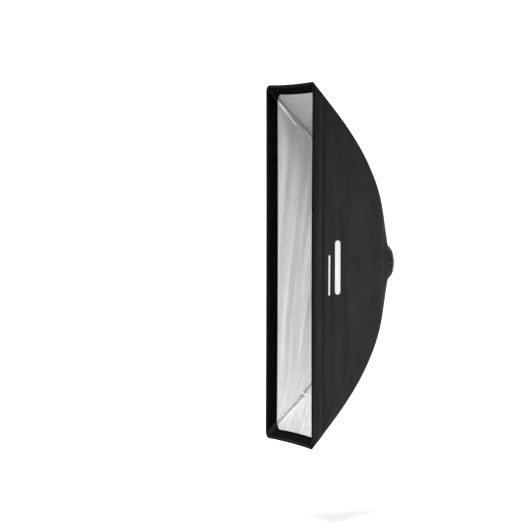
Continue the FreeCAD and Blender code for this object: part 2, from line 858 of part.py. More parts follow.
# retaining ring screwed to the rod ring's rear face
rt = body("RetainerRing", "retainer_ring")
sk = profile(
    rt, "RetainerSection", "XY_Plane",
    [
        (S("retainer_in_dia")/2, -S("retainer_front")),
        (S("retainer_out_dia")/2, -S("retainer_front")),
        (S("retainer_out_dia")/2, -S("retainer_back")),
        (S("retainer_in_dia")/2, -S("retainer_back")),
    ],
)
rr_ = revolve(rt, "RetainerRevolve", sk)
doc.recompute()
sk = rt.newObject("Sketcher::SketchObject", "RetainerHoleSketch")
sk.AttachmentSupport = (plane_of(rt, "XZ_Plane"), [""])
sk.MapMode = "FlatFace"
g = sk.addGeometry(Part.Circle(Vector(P("retainer_screw_pcd") / 2, 0, 0), Vector(0, 0, 1), 1.4), False)
sk.addConstraint(Sketcher.Constraint("PointOnObject", g, 3, -1))
k = sk.addConstraint(Sketcher.Constraint("DistanceX", -1, 1, g, 3, P("retainer_screw_pcd") / 2))
sk.setExpression("Constraints[%d]" % k, "Params.retainer_screw_pcd/2")
k = sk.addConstraint(Sketcher.Constraint("Radius", g, P("retainer_screw_dia") / 2 + 0.1))
sk.setExpression("Constraints[%d]" % k, "Params.retainer_screw_dia/2+0.1")
doc.recompute()
ph = pocket_into(rt, "RetainerHole", sk, 8.0, rr_)
pattern(rt, "RetainerHoles", [ph], "Y_Axis", "Params.retainer_screw_count", 6)
doc.recompute()

# pan-head screws of the retainer
screws = []
n = int(P("retainer_screw_count"))
for i in range(n):
    a = 2 * math.pi * i / n
    cx, cz = P("retainer_screw_pcd") / 2 * math.cos(a), P("retainer_screw_pcd") / 2 * math.sin(a)
    shank = Part.makeCylinder(P("retainer_screw_dia") / 2, 9.0, Vector(cx, -P("retainer_back") - 8.8, cz), Vector(0, 1, 0))
    head = Part.makeCylinder(P("retainer_head_dia") / 2, 1.3, Vector(cx, -P("retainer_back") + 0.05, cz), Vector(0, 1, 0))
    slot_ = Part.makeBox(P("retainer_head_dia") + 1, 0.7, 0.6, Vector(-(P("retainer_head_dia") + 1) / 2, 0, -0.3))
    slot_.Placement = Placement(Vector(cx, -P("retainer_back") + 0.85, cz), Rotation(Vector(0, 1, 0), 37 * i + 20))
    screws.append(shank.fuse(head).removeSplitter().cut(slot_))
give(feature("RetainerScrews", Part.Compound(screws)), "retainer_screws")

# --- rotation lock ---------------------------------------------------------------------------
bp = cylinder_z("BrakePad", "Params.pad_dia/2", "-Params.pad_radius_in", "Params.pad_radius_out-Params.pad_radius_in", "-Params.lock_axis_depth")
rim = cylinder_y("BrakePadRim", "Params.plate_dia/2+0.1", "-20", "30")
give(cut("BrakePadCut", bp, rim), "brake_pad")
give(
    cylinder_z("LockScrew", "Params.lock_dia/2", "-Params.pad_radius_out-0.05", "Params.knob_start+8-Params.pad_radius_out", "-Params.lock_axis_depth"),
    "lock_screw",
)
kb = body("LockKnob", "lock_knob")
sk = profile(
    kb, "KnobSection", "XZ_Plane",
    [
        (S("lock_dia")/2+0.02, -S("knob_start")),
        (S("knob_dia")/2-4, -S("knob_start")),
        (S("knob_dia")/2-3.4, -S("knob_start")-2.5),
        (S("knob_dia")/2, -S("knob_start")-4),
        (S("knob_dia")/2, -S("knob_start")-S("knob_length")+2),
        (S("knob_dia")/2-2, -S("knob_start")-S("knob_length")),
        (0, -S("knob_start")-S("knob_length")),
        (0, -S("knob_start")-8.2),
        (S("lock_dia")/2+0.02, -S("knob_start")-8.2),
    ],
)
kr = revolve(kb, "KnobRevolve", sk)
doc.recompute()
sk = kb.newObject("Sketcher::SketchObject", "FluteSketch")
sk.AttachmentSupport = (plane_of(kb, "XY_Plane"), [""])
sk.MapMode = "FlatFace"
sk.AttachmentOffset = Placement(Vector(0, 0, 0), Rotation())
sk.setExpression("AttachmentOffset.Base.z", "-Params.knob_start-3.2")
g = sk.addGeometry(Part.Circle(Vector(P("knob_dia") / 2 + 1.3, 0, 0), Vector(0, 0, 1), 2.5), False)
sk.addConstraint(Sketcher.Constraint("PointOnObject", g, 3, -1))
k = sk.addConstraint(Sketcher.Constraint("DistanceX", -1, 1, g, 3, P("knob_dia") / 2 + 1.3))
sk.setExpression("Constraints[%d]" % k, "Params.knob_dia/2+1.3")
k = sk.addConstraint(Sketcher.Constraint("Radius", g, P("flute_dia") / 2))
sk.setExpression("Constraints[%d]" % k, "Params.flute_dia/2")
doc.recompute()
fp = pocket_into(kb, "Flute", sk, P("knob_length") + 2, kr)
fp.setExpression("Length", "Params.knob_length+2")
doc.recompute()
pattern(kb, "Flutes", [fp], "Z_Axis", "Params.flute_count", 8)
doc.recompute()
kb.setExpression("Placement.Base.y", "-Params.lock_axis_depth")

# --- rear collar of the cloth and its elastic ------------------------------------------------
ca = cylinder_y("CollarOuter", "Params.collar_cloth_out", "-60", "60-Params.collar_cloth_back")
cb = cylinder_y("CollarInner", "Params.collar_cloth_in", "-61", "62")
cc = cut("CollarTube", ca, cb)
inset_c = P("collar_trim_inset")
f1 = feature("TentInsideSection", region_face("yz", inset_c, FRONT + 60, BACK))
f2 = feature("TentInsidePlan", region_face("xy", inset_c, FRONT + 60, BACK))
v1 = extrude("TentInsideA", f1, Vector(1, 0, 0), "2*Params.half_width+20")
v2 = extrude("TentInsideB", f2, Vector(0, 0, 1), "2*Params.half_height+40")
vin = common("TentInside", v1, v2)
notch = doc.addObject("Part::Box", "LockNotch")
notch.setExpression("Length", "Params.collar_notch_width")
notch.setExpression("Width", "Params.collar_notch_depth+1")
notch.setExpression("Height", "40")
notch.setExpression("Placement.Base.x", "-Params.collar_notch_width/2")
notch.setExpression("Placement.Base.y", "-Params.collar_notch_depth")
notch.setExpression("Placement.Base.z", "-100")
give(cut("RearCollar", cut("CollarTrimmed", cc, vin), notch), "rear_collar")
ea = cylinder_y("ElasticOuter", "Params.elastic_out", "-Params.elastic_front", "Params.elastic_front-Params.elastic_back")
eb = cylinder_y("ElasticInner", "Params.elastic_in", "-Params.elastic_front-1", "Params.elastic_front-Params.elastic_back+2")
give(cut("CollarElastic", ea, eb), "collar_elastic")

# --- access flaps ----------------------------------------------------------------------------


def depth_at_height(h):
    c = flat_curve("yz", 0.0)
    lo, hi = c.FirstParameter, c.LastParameter
    for _ in range(60):
        mid = (lo + hi) / 2
        if c.value(mid).y > h:
            lo = mid
        else:
            hi = mid
    return c.value((lo + hi) / 2).x


yt = depth_at_height(P("flap_top_height"))
yl = depth_at_height(P("flap_low_height"))
ym = depth_at_height(P("flap_tape_height"))


def flap_sheet(label, sign, out0, out1, y0, y1, half_expr):
    f = feature(label + "_section", strip_face("yz", sign, -out1, -out0, y0, y1))
    e = extrude(label + "_sheet", f, Vector(1, 0, 0), half_expr)
    return e


for label, sg in (("access_flap_top", 1), ("access_flap_bottom", -1)):
    give(flap_sheet(label, sg, 1.5, 2.4, yt, yl, "2*Params.flap_half_width"), label)
for label, sg in (("flap_hook_top", 1), ("flap_hook_bottom", -1)):
    give(flap_sheet(label, sg, 0.85, 1.45, ym, yl - 0.4, "2*Params.flap_half_width-4"), label)
la = flap_sheet("LoopStripTop", 1, 0.1, 0.7, ym, yl - 0.4, "2*Params.flap_half_width-4")
lb_ = flap_sheet("LoopStripBottom", -1, 0.1, 0.7, ym, yl - 0.4, "2*Params.flap_half_width-4")
doc.recompute()
give(feature("FlapLoopTapes", Part.Compound([la.Shape, lb_.Shape])), "flap_loop_tapes")

doc.recompute()

# --- check and write -------------------------------------------------------------------------
bad = []
for o in doc.Objects:
    if "Invalid" in o.State or "Error" in o.State:
        bad.append((o.Name, o.State))
for label, o in nodes.items():
    s = o.Shape
    if s.isNull() or not s.isValid() or len(s.Solids) < 1 or s.Volume <= 0:
        bad.append((label, "shape", s.isNull(), None if s.isNull() else (s.isValid(), len(s.Solids), s.Volume)))
if bad:
    for b_ in bad:
        print("BAD", b_)
    raise SystemExit("the model did not build")

os.makedirs("parts", exist_ok=True)
for label, o in sorted(nodes.items()):
    o.Shape.exportStep("parts/" + label + ".step")
mouth, way = socket_line(1, 1)
print("nodes", len(nodes))
print("socket mouth", [round(v, 2) for v in mouth], "way in", [round(v, 3) for v in way])
print("flap hinge depth", round(yt, 2), "flap end depth", round(yl, 2))
print("outer surface", [(h, round(depth_at_height(h), 1)) for h in (120, 133, 156, 181, 207, 228, 300, 400, 500, 600)])
print("half width", [(d, round(size_at("xy", 0.0, FRONT + d), 1)) for d in (50, 100, 150, 200, 250, 300, 350, 380, 400, 415)])
for label, o in sorted(nodes.items()):
    bb = o.Shape.BoundBox
    print("%-22s solids %d vol %10.1f  X %.1f %.1f Y %.1f %.1f Z %.1f %.1f" % (
        label, len(o.Shape.Solids), o.Shape.Volume, bb.XMin, bb.XMax, bb.YMin, bb.YMax, bb.ZMin, bb.ZMax))
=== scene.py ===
import math

import bpy
import numpy as np
from mathutils import Matrix, Vector


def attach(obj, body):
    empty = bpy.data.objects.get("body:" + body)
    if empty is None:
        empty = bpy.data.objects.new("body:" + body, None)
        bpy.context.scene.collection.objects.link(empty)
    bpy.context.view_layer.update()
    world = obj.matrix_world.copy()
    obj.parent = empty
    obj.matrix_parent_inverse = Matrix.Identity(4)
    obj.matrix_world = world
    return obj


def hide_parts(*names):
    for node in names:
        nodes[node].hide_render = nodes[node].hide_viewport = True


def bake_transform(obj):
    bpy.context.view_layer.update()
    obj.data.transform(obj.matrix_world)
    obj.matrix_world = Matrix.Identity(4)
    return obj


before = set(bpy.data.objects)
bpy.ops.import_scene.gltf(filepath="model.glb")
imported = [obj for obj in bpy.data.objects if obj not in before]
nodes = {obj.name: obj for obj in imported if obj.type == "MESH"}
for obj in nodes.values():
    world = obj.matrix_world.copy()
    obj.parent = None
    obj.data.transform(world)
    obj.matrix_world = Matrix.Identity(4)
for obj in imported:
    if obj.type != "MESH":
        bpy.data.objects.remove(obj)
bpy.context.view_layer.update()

# ------------------------------------------------------------------------------------------
# the tent's shape, metres, row frame: the same stations as the CAD
# ------------------------------------------------------------------------------------------
DEPTH = 0.447
STATIONS = np.array([
    (-30.0, 178.2, 728.5), (0.0, 175.0, 700.0), (60.0, 168.3, 640.0), (121.0, 160.8, 580.0),
    (185.0, 151.5, 512.0), (245.0, 140.5, 440.0), (294.0, 128.0, 370.0), (335.0, 114.5, 300.0),
    (366.5, 99.0, 230.0), (391.0, 82.0, 160.0), (408.3, 69.3, 110.0), (424.6, 57.0, 60.0),
    (433.2, 50.4, 33.0),
]) / 1000.0
RING_R = 0.0773


def natural_spline(x, y):
    n = len(x)
    h = np.diff(x)
    A = np.zeros((n, n))
    r = np.zeros((n,) + y.shape[1:])
    A[0, 0] = A[-1, -1] = 1
    for i in range(1, n - 1):
        A[i, i - 1], A[i, i], A[i, i + 1] = h[i - 1], 2 * (h[i - 1] + h[i]), h[i]
        r[i] = 6 * ((y[i + 1] - y[i]) / h[i] - (y[i] - y[i - 1]) / h[i - 1])
    m = np.linalg.solve(A, r)

    def f(q):
        q = np.atleast_1d(np.asarray(q, float))
        k = np.clip(np.searchsorted(x, q) - 1, 0, n - 2)
        a, b = x[k + 1] - q, q - x[k]
        hk = h[k]
        e = (slice(None),) + (None,) * (y.ndim - 1)
        return (
            m[k] * (a**3 / (6 * hk))[e] + m[k + 1] * (b**3 / (6 * hk))[e]
            + (y[k] / hk[e] - m[k] * hk[e] / 6) * a[e] + (y[k + 1] / hk[e] - m[k + 1] * hk[e] / 6) * b[e]
        )

    return f


_t = np.concatenate([[0], np.cumsum(np.linalg.norm(np.diff(STATIONS, axis=0), axis=1))])
_curve = natural_spline(_t, STATIONS)


def _solve(test, lo, hi):
    for _ in range(60):
        mid = (lo + hi) / 2
        if test(_curve(mid)[0]):
            lo = mid
        else:
            hi = mid
    return lo


T0 = _solve(lambda p: p[0] < 0, 0, _t[-1])
T1 = _solve(lambda p: math.hypot(p[1], p[2]) > RING_R, 0, _t[-1])
ARC = T1 - T0


def seam(u):
    """Columns depth behind the front edge, half width, half height, at u from 0 (front) to 1 (ring)."""
    return _curve(T0 + np.asarray(u) * ARC)


def u_at(col, value):
    """u where that column of the seam has the value; depth rises and the sizes fall."""
    lo, hi = 0.0, 1.0
    for _ in range(60):
        mid = (lo + hi) / 2
        v = seam(mid)[0][col]
        if (v < value) if col == 0 else (v > value):
            lo = mid
        else:
            hi = mid
    return lo


END = seam(1.0)[0]
ALPHA = math.atan2(END[2], END[1])
U_FLARE = u_at(2, 0.225)


def smooth(x):
    x = np.clip(x, 0, 1)
    return x * x * (3 - 2 * x)


def corner_radius(d):
    return 0.0025 + 0.0100 * (1 - smooth(d / 0.060)) + 0.0150 * (1 - smooth(d / 0.013))


def near_radius(d):
    return 0.0025 + 0.0040 * (1 - smooth(d / 0.050))


def wall_points(kind, sign, u, cols, bow=True):
    """Points of a wall. u is a column of rows; cols is a function (half length) -> main coordinates."""
    s = seam(u)
    d, X, Z = s[:, 0], s[:, 1], s[:, 2]
    H, F = (Z, X) if kind == "side" else (X, Z)
    ang = ALPHA if kind == "side" else math.pi / 2 - ALPHA
    m = np.stack([cols(h) for h in H])
    Hc = H[:, None]
    c = np.maximum(Hc - np.abs(m), 0)
    R = corner_radius(d)[:, None] + 0 * m
    near = (m > 0) if kind == "end" else np.full(m.shape, sign > 0)
    R = np.where(near, near_radius(d)[:, None], R)
    th = np.clip(1 - c / R, 0, 1) * (math.pi / 4)
    inside = c < R
    am = np.where(inside, Hc - R + R * np.sin(th), np.abs(m))
    f = np.where(inside, F[:, None] - R * (1 - np.cos(th)), F[:, None] + 0 * m)
    t = np.clip(m / Hc, -1, 1)
    mm = np.sign(m) * am
    w = smooth((u - U_FLARE) / (1 - U_FLARE))[:, None] ** 1.25
    f = f + w * RING_R * (np.cos(t * ang) - math.cos(ang))
    mm = mm + w * RING_R * (np.sin(t * ang) - t * math.sin(ang))
    if bow:
        uu = u[:, None]
        if kind == "side":
            b = 0.0034 + 0.0046 * np.sin(np.clip(uu / 0.75, 0, 1) * math.pi) - 0.0034 * smooth(uu / 0.9)
        else:
            b = 0.0046 + 0.0018 * np.sin(np.clip(uu / 0.75, 0, 1) * math.pi) - 0.0046 * smooth(uu / 0.9)
        f = f - b * (1 - t * t)
    y = (d - DEPTH)[:, None] + 0 * m
    if kind == "side":
        P = np.stack([sign * f, y, mm], -1)
    else:
        P = np.stack([mm, y, sign * f], -1)
    return P, t, m


def normals_of(P, kind, sign):
    du = np.gradient(P, axis=0)
    dv = np.gradient(P, axis=1)
    n = np.cross(du, dv)
    n /= np.maximum(np.linalg.norm(n, axis=-1, keepdims=True), 1e-12)
    k = 0 if kind == "side" else 2
    flip = np.sign(np.median(n[..., k])) * sign
    return n * flip


def side_cols(nmid, edge=(0, 0.7, 1.6, 2.8, 4.5, 7, 10, 14)):
    e = np.array(edge) / 1000

    def f(h):
        lim = h - e[-1]
        mid = np.linspace(-lim, lim, nmid)
        return np.concatenate([-(h - e[:-1]), mid, (h - e[:-1])[::-1]])

    return f


FINE = (0, 0.7, 1.6, 2.8, 4.5, 7, 10, 14) + tuple(np.arange(17, 63, 2.9))


def end_cols(nin, nout, edge=(0, 0.7, 1.6, 2.8, 4.5, 7, 10, 14), xs=0.031):
    e = np.array(edge) / 1000

    def f(h):
        lim = h - e[-1]
        a = np.linspace(-lim, -xs, nout)[:-1]
        b = np.linspace(-xs, xs, nin)
        return np.concatenate([-(h - e[:-1]), a, b, -a[::-1], (h - e[:-1])[::-1]])

    return f


# ------------------------------------------------------------------------------------------
# noise
# ------------------------------------------------------------------------------------------


def value_noise(x, y, seed):
    """Smooth gradient noise, about -1 to 1."""
    rng = np.random.default_rng(seed)
    ang = rng.uniform(0, 2 * math.pi, (128, 128))
    gx, gy = np.cos(ang), np.sin(ang)
    x, y = np.broadcast_arrays(np.asarray(x, float), np.asarray(y, float))
    x, y = 0.939 * x - 0.343 * y + 11.3, 0.343 * x + 0.939 * y + 5.7
    xi, yi = np.floor(x).astype(int), np.floor(y).astype(int)
    fx, fy = x - xi, y - yi
    wx, wy = fx**3 * (fx * (fx * 6 - 15) + 10), fy**3 * (fy * (fy * 6 - 15) + 10)

    def g(i, j, dx, dy):
        return gx[i % 128, j % 128] * dx + gy[i % 128, j % 128] * dy

    return 1.5 * (
        g(xi, yi, fx, fy) * (1 - wx) * (1 - wy) + g(xi + 1, yi, fx - 1, fy) * wx * (1 - wy)
        + g(xi, yi + 1, fx, fy - 1) * (1 - wx) * wy + g(xi + 1, yi + 1, fx - 1, fy - 1) * wx * wy
    )


def folds(q, run, width, length, seed):
    """Long soft folds: q across them and run along them, both in metres."""
    warp = 0.35 * value_noise(q / (width * 3.1), run / (length * 0.9), seed + 91)
    return value_noise(q / width + warp, run / length, seed)


def ridge(x, width):
    return np.exp(-((x / width) ** 2))


# ------------------------------------------------------------------------------------------
# mesh helpers
# ------------------------------------------------------------------------------------------


def new_object(name, verts, faces, uvs=None, mat=None, smooth_faces=True):
    me = bpy.data.meshes.new(name)
    me.from_pydata([tuple(v) for v in verts], [], [tuple(f) for f in faces])
    me.validate()
    if smooth_faces:
        me.polygons.foreach_set("use_smooth", [True] * len(me.polygons))
    if uvs is not None:
        layer = me.uv_layers.new(name="cloth")
        loops = np.zeros(len(me.loops), np.int32)
        me.loops.foreach_get("vertex_index", loops)
        layer.data.foreach_set("uv", np.asarray(uvs, np.float32)[loops].ravel())
    me.update()
    ob = bpy.data.objects.new(name, me)
    bpy.context.scene.collection.objects.link(ob)
    if mat is not None:
        me.materials.append(mat)
    return ob


def closed_sheet(name, outer, inner, uv, mat, mask=None):
    """Two grids of the same size joined round every edge into one closed sheet. mask: quads kept."""
    ny, nx = outer.shape[:2]
    keep = np.ones((ny - 1, nx - 1), bool) if mask is None else mask
    n = ny * nx
    verts = np.concatenate([outer.reshape(-1, 3), inner.reshape(-1, 3)])
    idx = np.arange(n).reshape(ny, nx)
    faces, edges = [], {}
    # orientation test
    i0, j0 = np.argwhere(keep)[len(np.argwhere(keep)) // 2]
    a, b, c = outer[i0, j0], outer[i0 + 1, j0], outer[i0, j0 + 1]
    out = outer[i0, j0] - inner[i0, j0]
    flip = np.dot(np.cross(b - a, c - a), out) < 0
    for i, j in np.argwhere(keep):
        q = [idx[i, j], idx[i + 1, j], idx[i + 1, j + 1], idx[i, j + 1]]
        if flip:
            q = q[::-1]
        faces.append(q)
        faces.append([k + n for k in q[::-1]])
        for k in range(4):
            e = (q[k], q[(k + 1) % 4])
            if (e[1], e[0]) in edges:
                del edges[(e[1], e[0])]
            else:
                edges[e] = True
    for a_, b_ in edges:
        faces.append([b_, a_, a_ + n, b_ + n])
    used = np.zeros(2 * n, bool)
    for f in faces:
        used[f] = True
    remap = np.cumsum(used) - 1
    verts = verts[used]
    uvs = np.concatenate([uv.reshape(-1, 2)] * 2)[used]
    faces = [[remap[k] for k in f] for f in faces]
    return new_object(name, verts, faces, uvs, mat)


def grid_uv(P):
    """Distances along the cloth, in metres."""
    dv = np.linalg.norm(np.diff(P, axis=1), axis=-1)
    v = np.concatenate([np.zeros((P.shape[0], 1)), np.cumsum(dv, axis=1)], axis=1)
    v = v - v[:, v.shape[1] // 2][:, None]
    du = np.linalg.norm(np.diff(P, axis=0), axis=-1).mean(axis=1)
    u = np.concatenate([[0], np.cumsum(du)])
    return np.stack([v, np.repeat(u[:, None], P.shape[1], 1)], -1)


def tube(name, pts, radius, mat, sides=8, closed=False, squash=(1, 1), side_dir=None, cap=True):
    """A round or flattened tube along points."""
    pts = np.asarray(pts, float)
    n = len(pts)
    tan = np.gradient(pts, axis=0)
    if closed:
        tan = (np.roll(pts, -1, 0) - np.roll(pts, 1, 0))
    tan /= np.linalg.norm(tan, axis=1, keepdims=True)
    ref = np.array([0, 0, 1.0]) if side_dir is None else None
    verts, uv = [], []
    prev = None
    run = np.concatenate([[0], np.cumsum(np.linalg.norm(np.diff(pts, axis=0), axis=1))])
    for k in range(n):
        if side_dir is not None:
            s = np.asarray(side_dir[k], float)
        elif prev is None:
            s = np.array([1.0, 0, 0]) if abs(tan[k][0]) < 0.9 else np.array([0, 0, 1.0])
        else:
            s = prev
        s = s - tan[k] * np.dot(s, tan[k])
        s /= np.linalg.norm(s)
        prev = s
        q = np.cross(tan[k], s)
        r = radius[k] if np.ndim(radius) else radius
        for j in range(sides):
            a = 2 * math.pi * j / sides
            verts.append(pts[k] + r * (squash[0] * math.cos(a) * s + squash[1] * math.sin(a) * q))
            uv.append((r * a, run[k]))
    faces = []
    m = n if closed else n - 1
    for k in range(m):
        k2 = (k + 1) % n
        for j in range(sides):
            j2 = (j + 1) % sides
            faces.append([k * sides + j, k * sides + j2, k2 * sides + j2, k2 * sides + j])
    if not closed and cap:
        faces.append(list(range(sides))[::-1])
        faces.append([(n - 1) * sides + j for j in range(sides)])
    return new_object(name, verts, faces, uv, mat)


def section_sweep(name, origins, e1, e2, section, mat, closed=True):
    """A closed section (points in e1, e2) carried along origins."""
    n, k = len(origins), len(section)
    verts, uv = [], []
    run = np.concatenate([[0], np.cumsum(np.linalg.norm(np.diff(origins, axis=0), axis=1))])
    sec = np.asarray(section, float)
    sl = np.concatenate([[0], np.cumsum(np.linalg.norm(np.diff(sec, axis=0), axis=1))])
    for i in range(n):
        for j in range(k):
            verts.append(origins[i] + e1[i] * sec[j, 0] + e2[i] * sec[j, 1])
            uv.append((sl[j], run[i]))
    faces = []
    for i in range(n if closed else n - 1):
        i2 = (i + 1) % n
        for j in range(k):
            j2 = (j + 1) % k
            faces.append([i * k + j, i * k + j2, i2 * k + j2, i2 * k + j])
    if not closed:
        faces.append(list(range(k))[::-1])
        faces.append([(n - 1) * k + j for j in range(k)])
    ob = new_object(name, verts, faces, uv, mat)
    return fix_normals(ob)


def fix_normals(ob):
    import bmesh

    bm = bmesh.new()
    bm.from_mesh(ob.data)
    bmesh.ops.recalc_face_normals(bm, faces=bm.faces)
    bm.to_mesh(ob.data)
    bm.free()
    return ob


def stitches(name, pts, nrm, mat, pitch=0.0052, length=0.0036, radius=0.00038, lift=0.00015):
    """A row of thread stitches lying on a surface along points."""
    pts, nrm = np.asarray(pts, float), np.asarray(nrm, float)
    run = np.concatenate([[0], np.cumsum(np.linalg.norm(np.diff(pts, axis=0), axis=1))])
    total = run[-1]
    verts, faces, uv = [], [], []
    count = int(total / pitch)
    for i in range(count):
        s0 = (i + 0.5) * total / count - length / 2
        ring = []
        for f, r, up in ((0, 0.35, -0.6), (0.16, 0.95, 0.35), (0.84, 0.95, 0.35), (1, 0.35, -0.6)):
            s = s0 + f * length
            p = np.array([np.interp(s, run, pts[:, k]) for k in range(3)])
            nn = np.array([np.interp(s, run, nrm[:, k]) for k in range(3)])
            nn /= np.linalg.norm(nn)
            q = np.array([np.interp(s + 1e-4, run, pts[:, k]) for k in range(3)]) - np.array(
                [np.interp(s - 1e-4, run, pts[:, k]) for k in range(3)]
            )
            q /= max(np.linalg.norm(q), 1e-9)
            side = np.cross(q, nn)
            c = p + nn * (lift + radius * up)
            ring.append([c + radius * r * (math.cos(a) * side + math.sin(a) * nn) for a in (0, 1.2566, 2.5133, 3.7699, 5.0265)])
        base = len(verts)
        for k, rr in enumerate(ring):
            for p in rr:
                verts.append(p)
                uv.append((0, s0 + k * length / 3))
        for k in range(3):
            for j in range(5):
                faces.append([base + k * 5 + j, base + k * 5 + (j + 1) % 5, base + (k + 1) * 5 + (j + 1) % 5, base + (k + 1) * 5 + j])
        faces.append([base + j for j in range(5)][::-1])
        faces.append([base + 15 + j for j in range(5)])
    ob = new_object(name, verts, faces, uv, mat)
    return fix_normals(ob)


# ------------------------------------------------------------------------------------------
# materials
# ------------------------------------------------------------------------------------------


class Mat:
    def __init__(self, name):
        self.m = bpy.data.materials.new(name)
        self.m.use_nodes = True
        self.nt = self.m.node_tree
        self.nt.nodes.clear()
        self.out = self.node("ShaderNodeOutputMaterial")
        self.bsdf = self.node("ShaderNodeBsdfPrincipled")
        self.link(self.bsdf.outputs[0], self.out.inputs[0])

    def node(self, kind, **kw):
        n = self.nt.nodes.new(kind)
        for k, v in kw.items():
            setattr(n, k, v)
        return n

    def link(self, a, b):
        self.nt.links.new(a, b)

    def set(self, **kw):
        for k, v in kw.items():
            self.bsdf.inputs[k.replace("_", " ")].default_value = v

    def coords(self, uv=True, scale=(1, 1, 1), rot=0.0):
        if uv:
            c = self.node("ShaderNodeUVMap", uv_map="cloth")
            o = c.outputs[0]
        else:
            c = self.node("ShaderNodeTexCoord")
            o = c.outputs["Object"]
        mp = self.node("ShaderNodeMapping")
        mp.inputs["Scale"].default_value = scale
        mp.inputs["Rotation"].default_value = (0, 0, rot)
        self.link(o, mp.inputs[0])
        return mp.outputs[0]

    def noise(self, co, scale, detail=3.0, rough=0.55, distortion=0.0):
        n = self.node("ShaderNodeTexNoise")
        n.inputs["Scale"].default_value = scale
        n.inputs["Detail"].default_value = detail
        n.inputs["Roughness"].default_value = rough
        n.inputs["Distortion"].default_value = distortion
        self.link(co, n.inputs["Vector"])
        return n.outputs["Fac"]

    def wave(self, co, scale, direction="X", distortion=0.0, profile="SIN"):
        n = self.node("ShaderNodeTexWave", bands_direction=direction, wave_profile=profile)
        n.inputs["Scale"].default_value = scale
        n.inputs["Distortion"].default_value = distortion
        self.link(co, n.inputs["Vector"])
        return n.outputs["Fac"]

    def math(self, op, a, b=None, clamp=False):
        n = self.node("ShaderNodeMath", operation=op, use_clamp=clamp)
        for k, v in ((0, a), (1, b)):
            if v is None:
                continue
            if isinstance(v, (int, float)):
                n.inputs[k].default_value = v
            else:
                self.link(v, n.inputs[k])
        return n.outputs[0]

    def ramp(self, fac, stops):
        r = self.node("ShaderNodeValToRGB")
        el = r.color_ramp.elements
        while len(el) < len(stops):
            el.new(0.5)
        for e, (p, c) in zip(el, stops):
            e.position = p
            e.color = (c[0], c[1], c[2], 1)
        self.link(fac, r.inputs[0])
        return r.outputs[0]

    def mapr(self, v, a, b, c, d):
        n = self.node("ShaderNodeMapRange")
        for k, x in (("From Min", a), ("From Max", b), ("To Min", c), ("To Max", d)):
            n.inputs[k].default_value = x
        self.link(v, n.inputs[0])
        return n.outputs[0]

    def bump(self, height, strength, distance, after=None):
        b = self.node("ShaderNodeBump")
        b.inputs["Strength"].default_value = strength
        b.inputs["Distance"].default_value = distance
        self.link(height, b.inputs["Height"])
        if after is not None:
            self.link(after, b.inputs["Normal"])
        return b.outputs[0]


def weave_height(m, pitch, uv=True):
    """Plain weave: over-and-under threads, period two pitches."""
    co = m.coords(uv)
    k = math.pi / pitch
    sep = m.node("ShaderNodeSeparateXYZ")
    m.link(co, sep.inputs[0])
    wob_u = m.math("MULTIPLY", m.math("SUBTRACT", m.noise(co, 55.0, 3, 0.6), 0.5), 0.011)
    wob_v = m.math("MULTIPLY", m.math("SUBTRACT", m.noise(m.coords(uv, (1.3, 0.8, 1), 0.7), 47.0, 3, 0.6), 0.5), 0.011)
    su = m.math("SINE", m.math("MULTIPLY", m.math("ADD", sep.outputs[0], wob_u), k))
    sv = m.math("SINE", m.math("MULTIPLY", m.math("ADD", sep.outputs[1], wob_v), k))
    prod = m.math("MULTIPLY", su, sv)
    au, av = m.math("ABSOLUTE", su), m.math("ABSOLUTE", sv)
    over = m.math("GREATER_THAN", prod, 0.0)
    hi = m.math("MULTIPLY", au, over)
    lo = m.math("MULTIPLY", av, m.math("SUBTRACT", 1.0, over))
    return m.math("ADD", hi, lo), co, sep


def cloth(name, dark, light, pitch=0.0007, rough=0.8, sheen=0.25, sheen_rough=0.45, bump=0.35, wrinkle=0.3,
          spec=0.35, metallic=0.0, streak=0.0, run=(3.0, 45)):
    m = Mat(name)
    h, co, sep = weave_height(m, pitch)
    big = m.noise(co, 6.0, 4, 0.6)
    fine = m.noise(co, 900.0, 2, 0.6)
    mix = m.math("ADD", m.math("MULTIPLY", big, 0.55), m.math("MULTIPLY", fine, 0.45))
    if streak:
        st = m.noise(m.coords(True, (run[0], run[1], 1)), 1.0, 4, 0.6)
        mix = m.math("ADD", m.math("MULTIPLY", mix, 1 - streak), m.math("MULTIPLY", st, streak))
    col = m.ramp(mix, [(0.3, dark), (0.7, light)])
    # threads: painted shade, the colour slightly darker between them where the weave lies low
    shade = m.mapr(h, 0.0, 1.0, 0.965, 1.015)
    mul = m.node("ShaderNodeMix", data_type="RGBA", blend_type="MULTIPLY")
    mul.inputs["Factor"].default_value = 1.0
    m.link(col, mul.inputs["A"])
    comb = m.node("ShaderNodeCombineXYZ")
    for k in range(3):
        m.link(shade, comb.inputs[k])
    m.link(comb.outputs[0], mul.inputs["B"])
    m.link(mul.outputs["Result"], m.bsdf.inputs["Base Color"])
    rr = m.mapr(big, 0.3, 0.7, rough - 0.06, rough + 0.06)
    m.link(rr, m.bsdf.inputs["Roughness"])
    n1 = m.bump(h, bump, pitch * 0.35)
    soft = m.noise(m.coords(True, (1, 1, 1)), 38.0, 5, 0.6, 0.4)
    n2 = m.bump(soft, wrinkle, 0.004, n1)
    m.link(n2, m.bsdf.inputs["Normal"])
    m.set(Metallic=metallic, Sheen_Weight=sheen, Sheen_Roughness=sheen_rough, Specular_IOR_Level=spec)
    return m.m


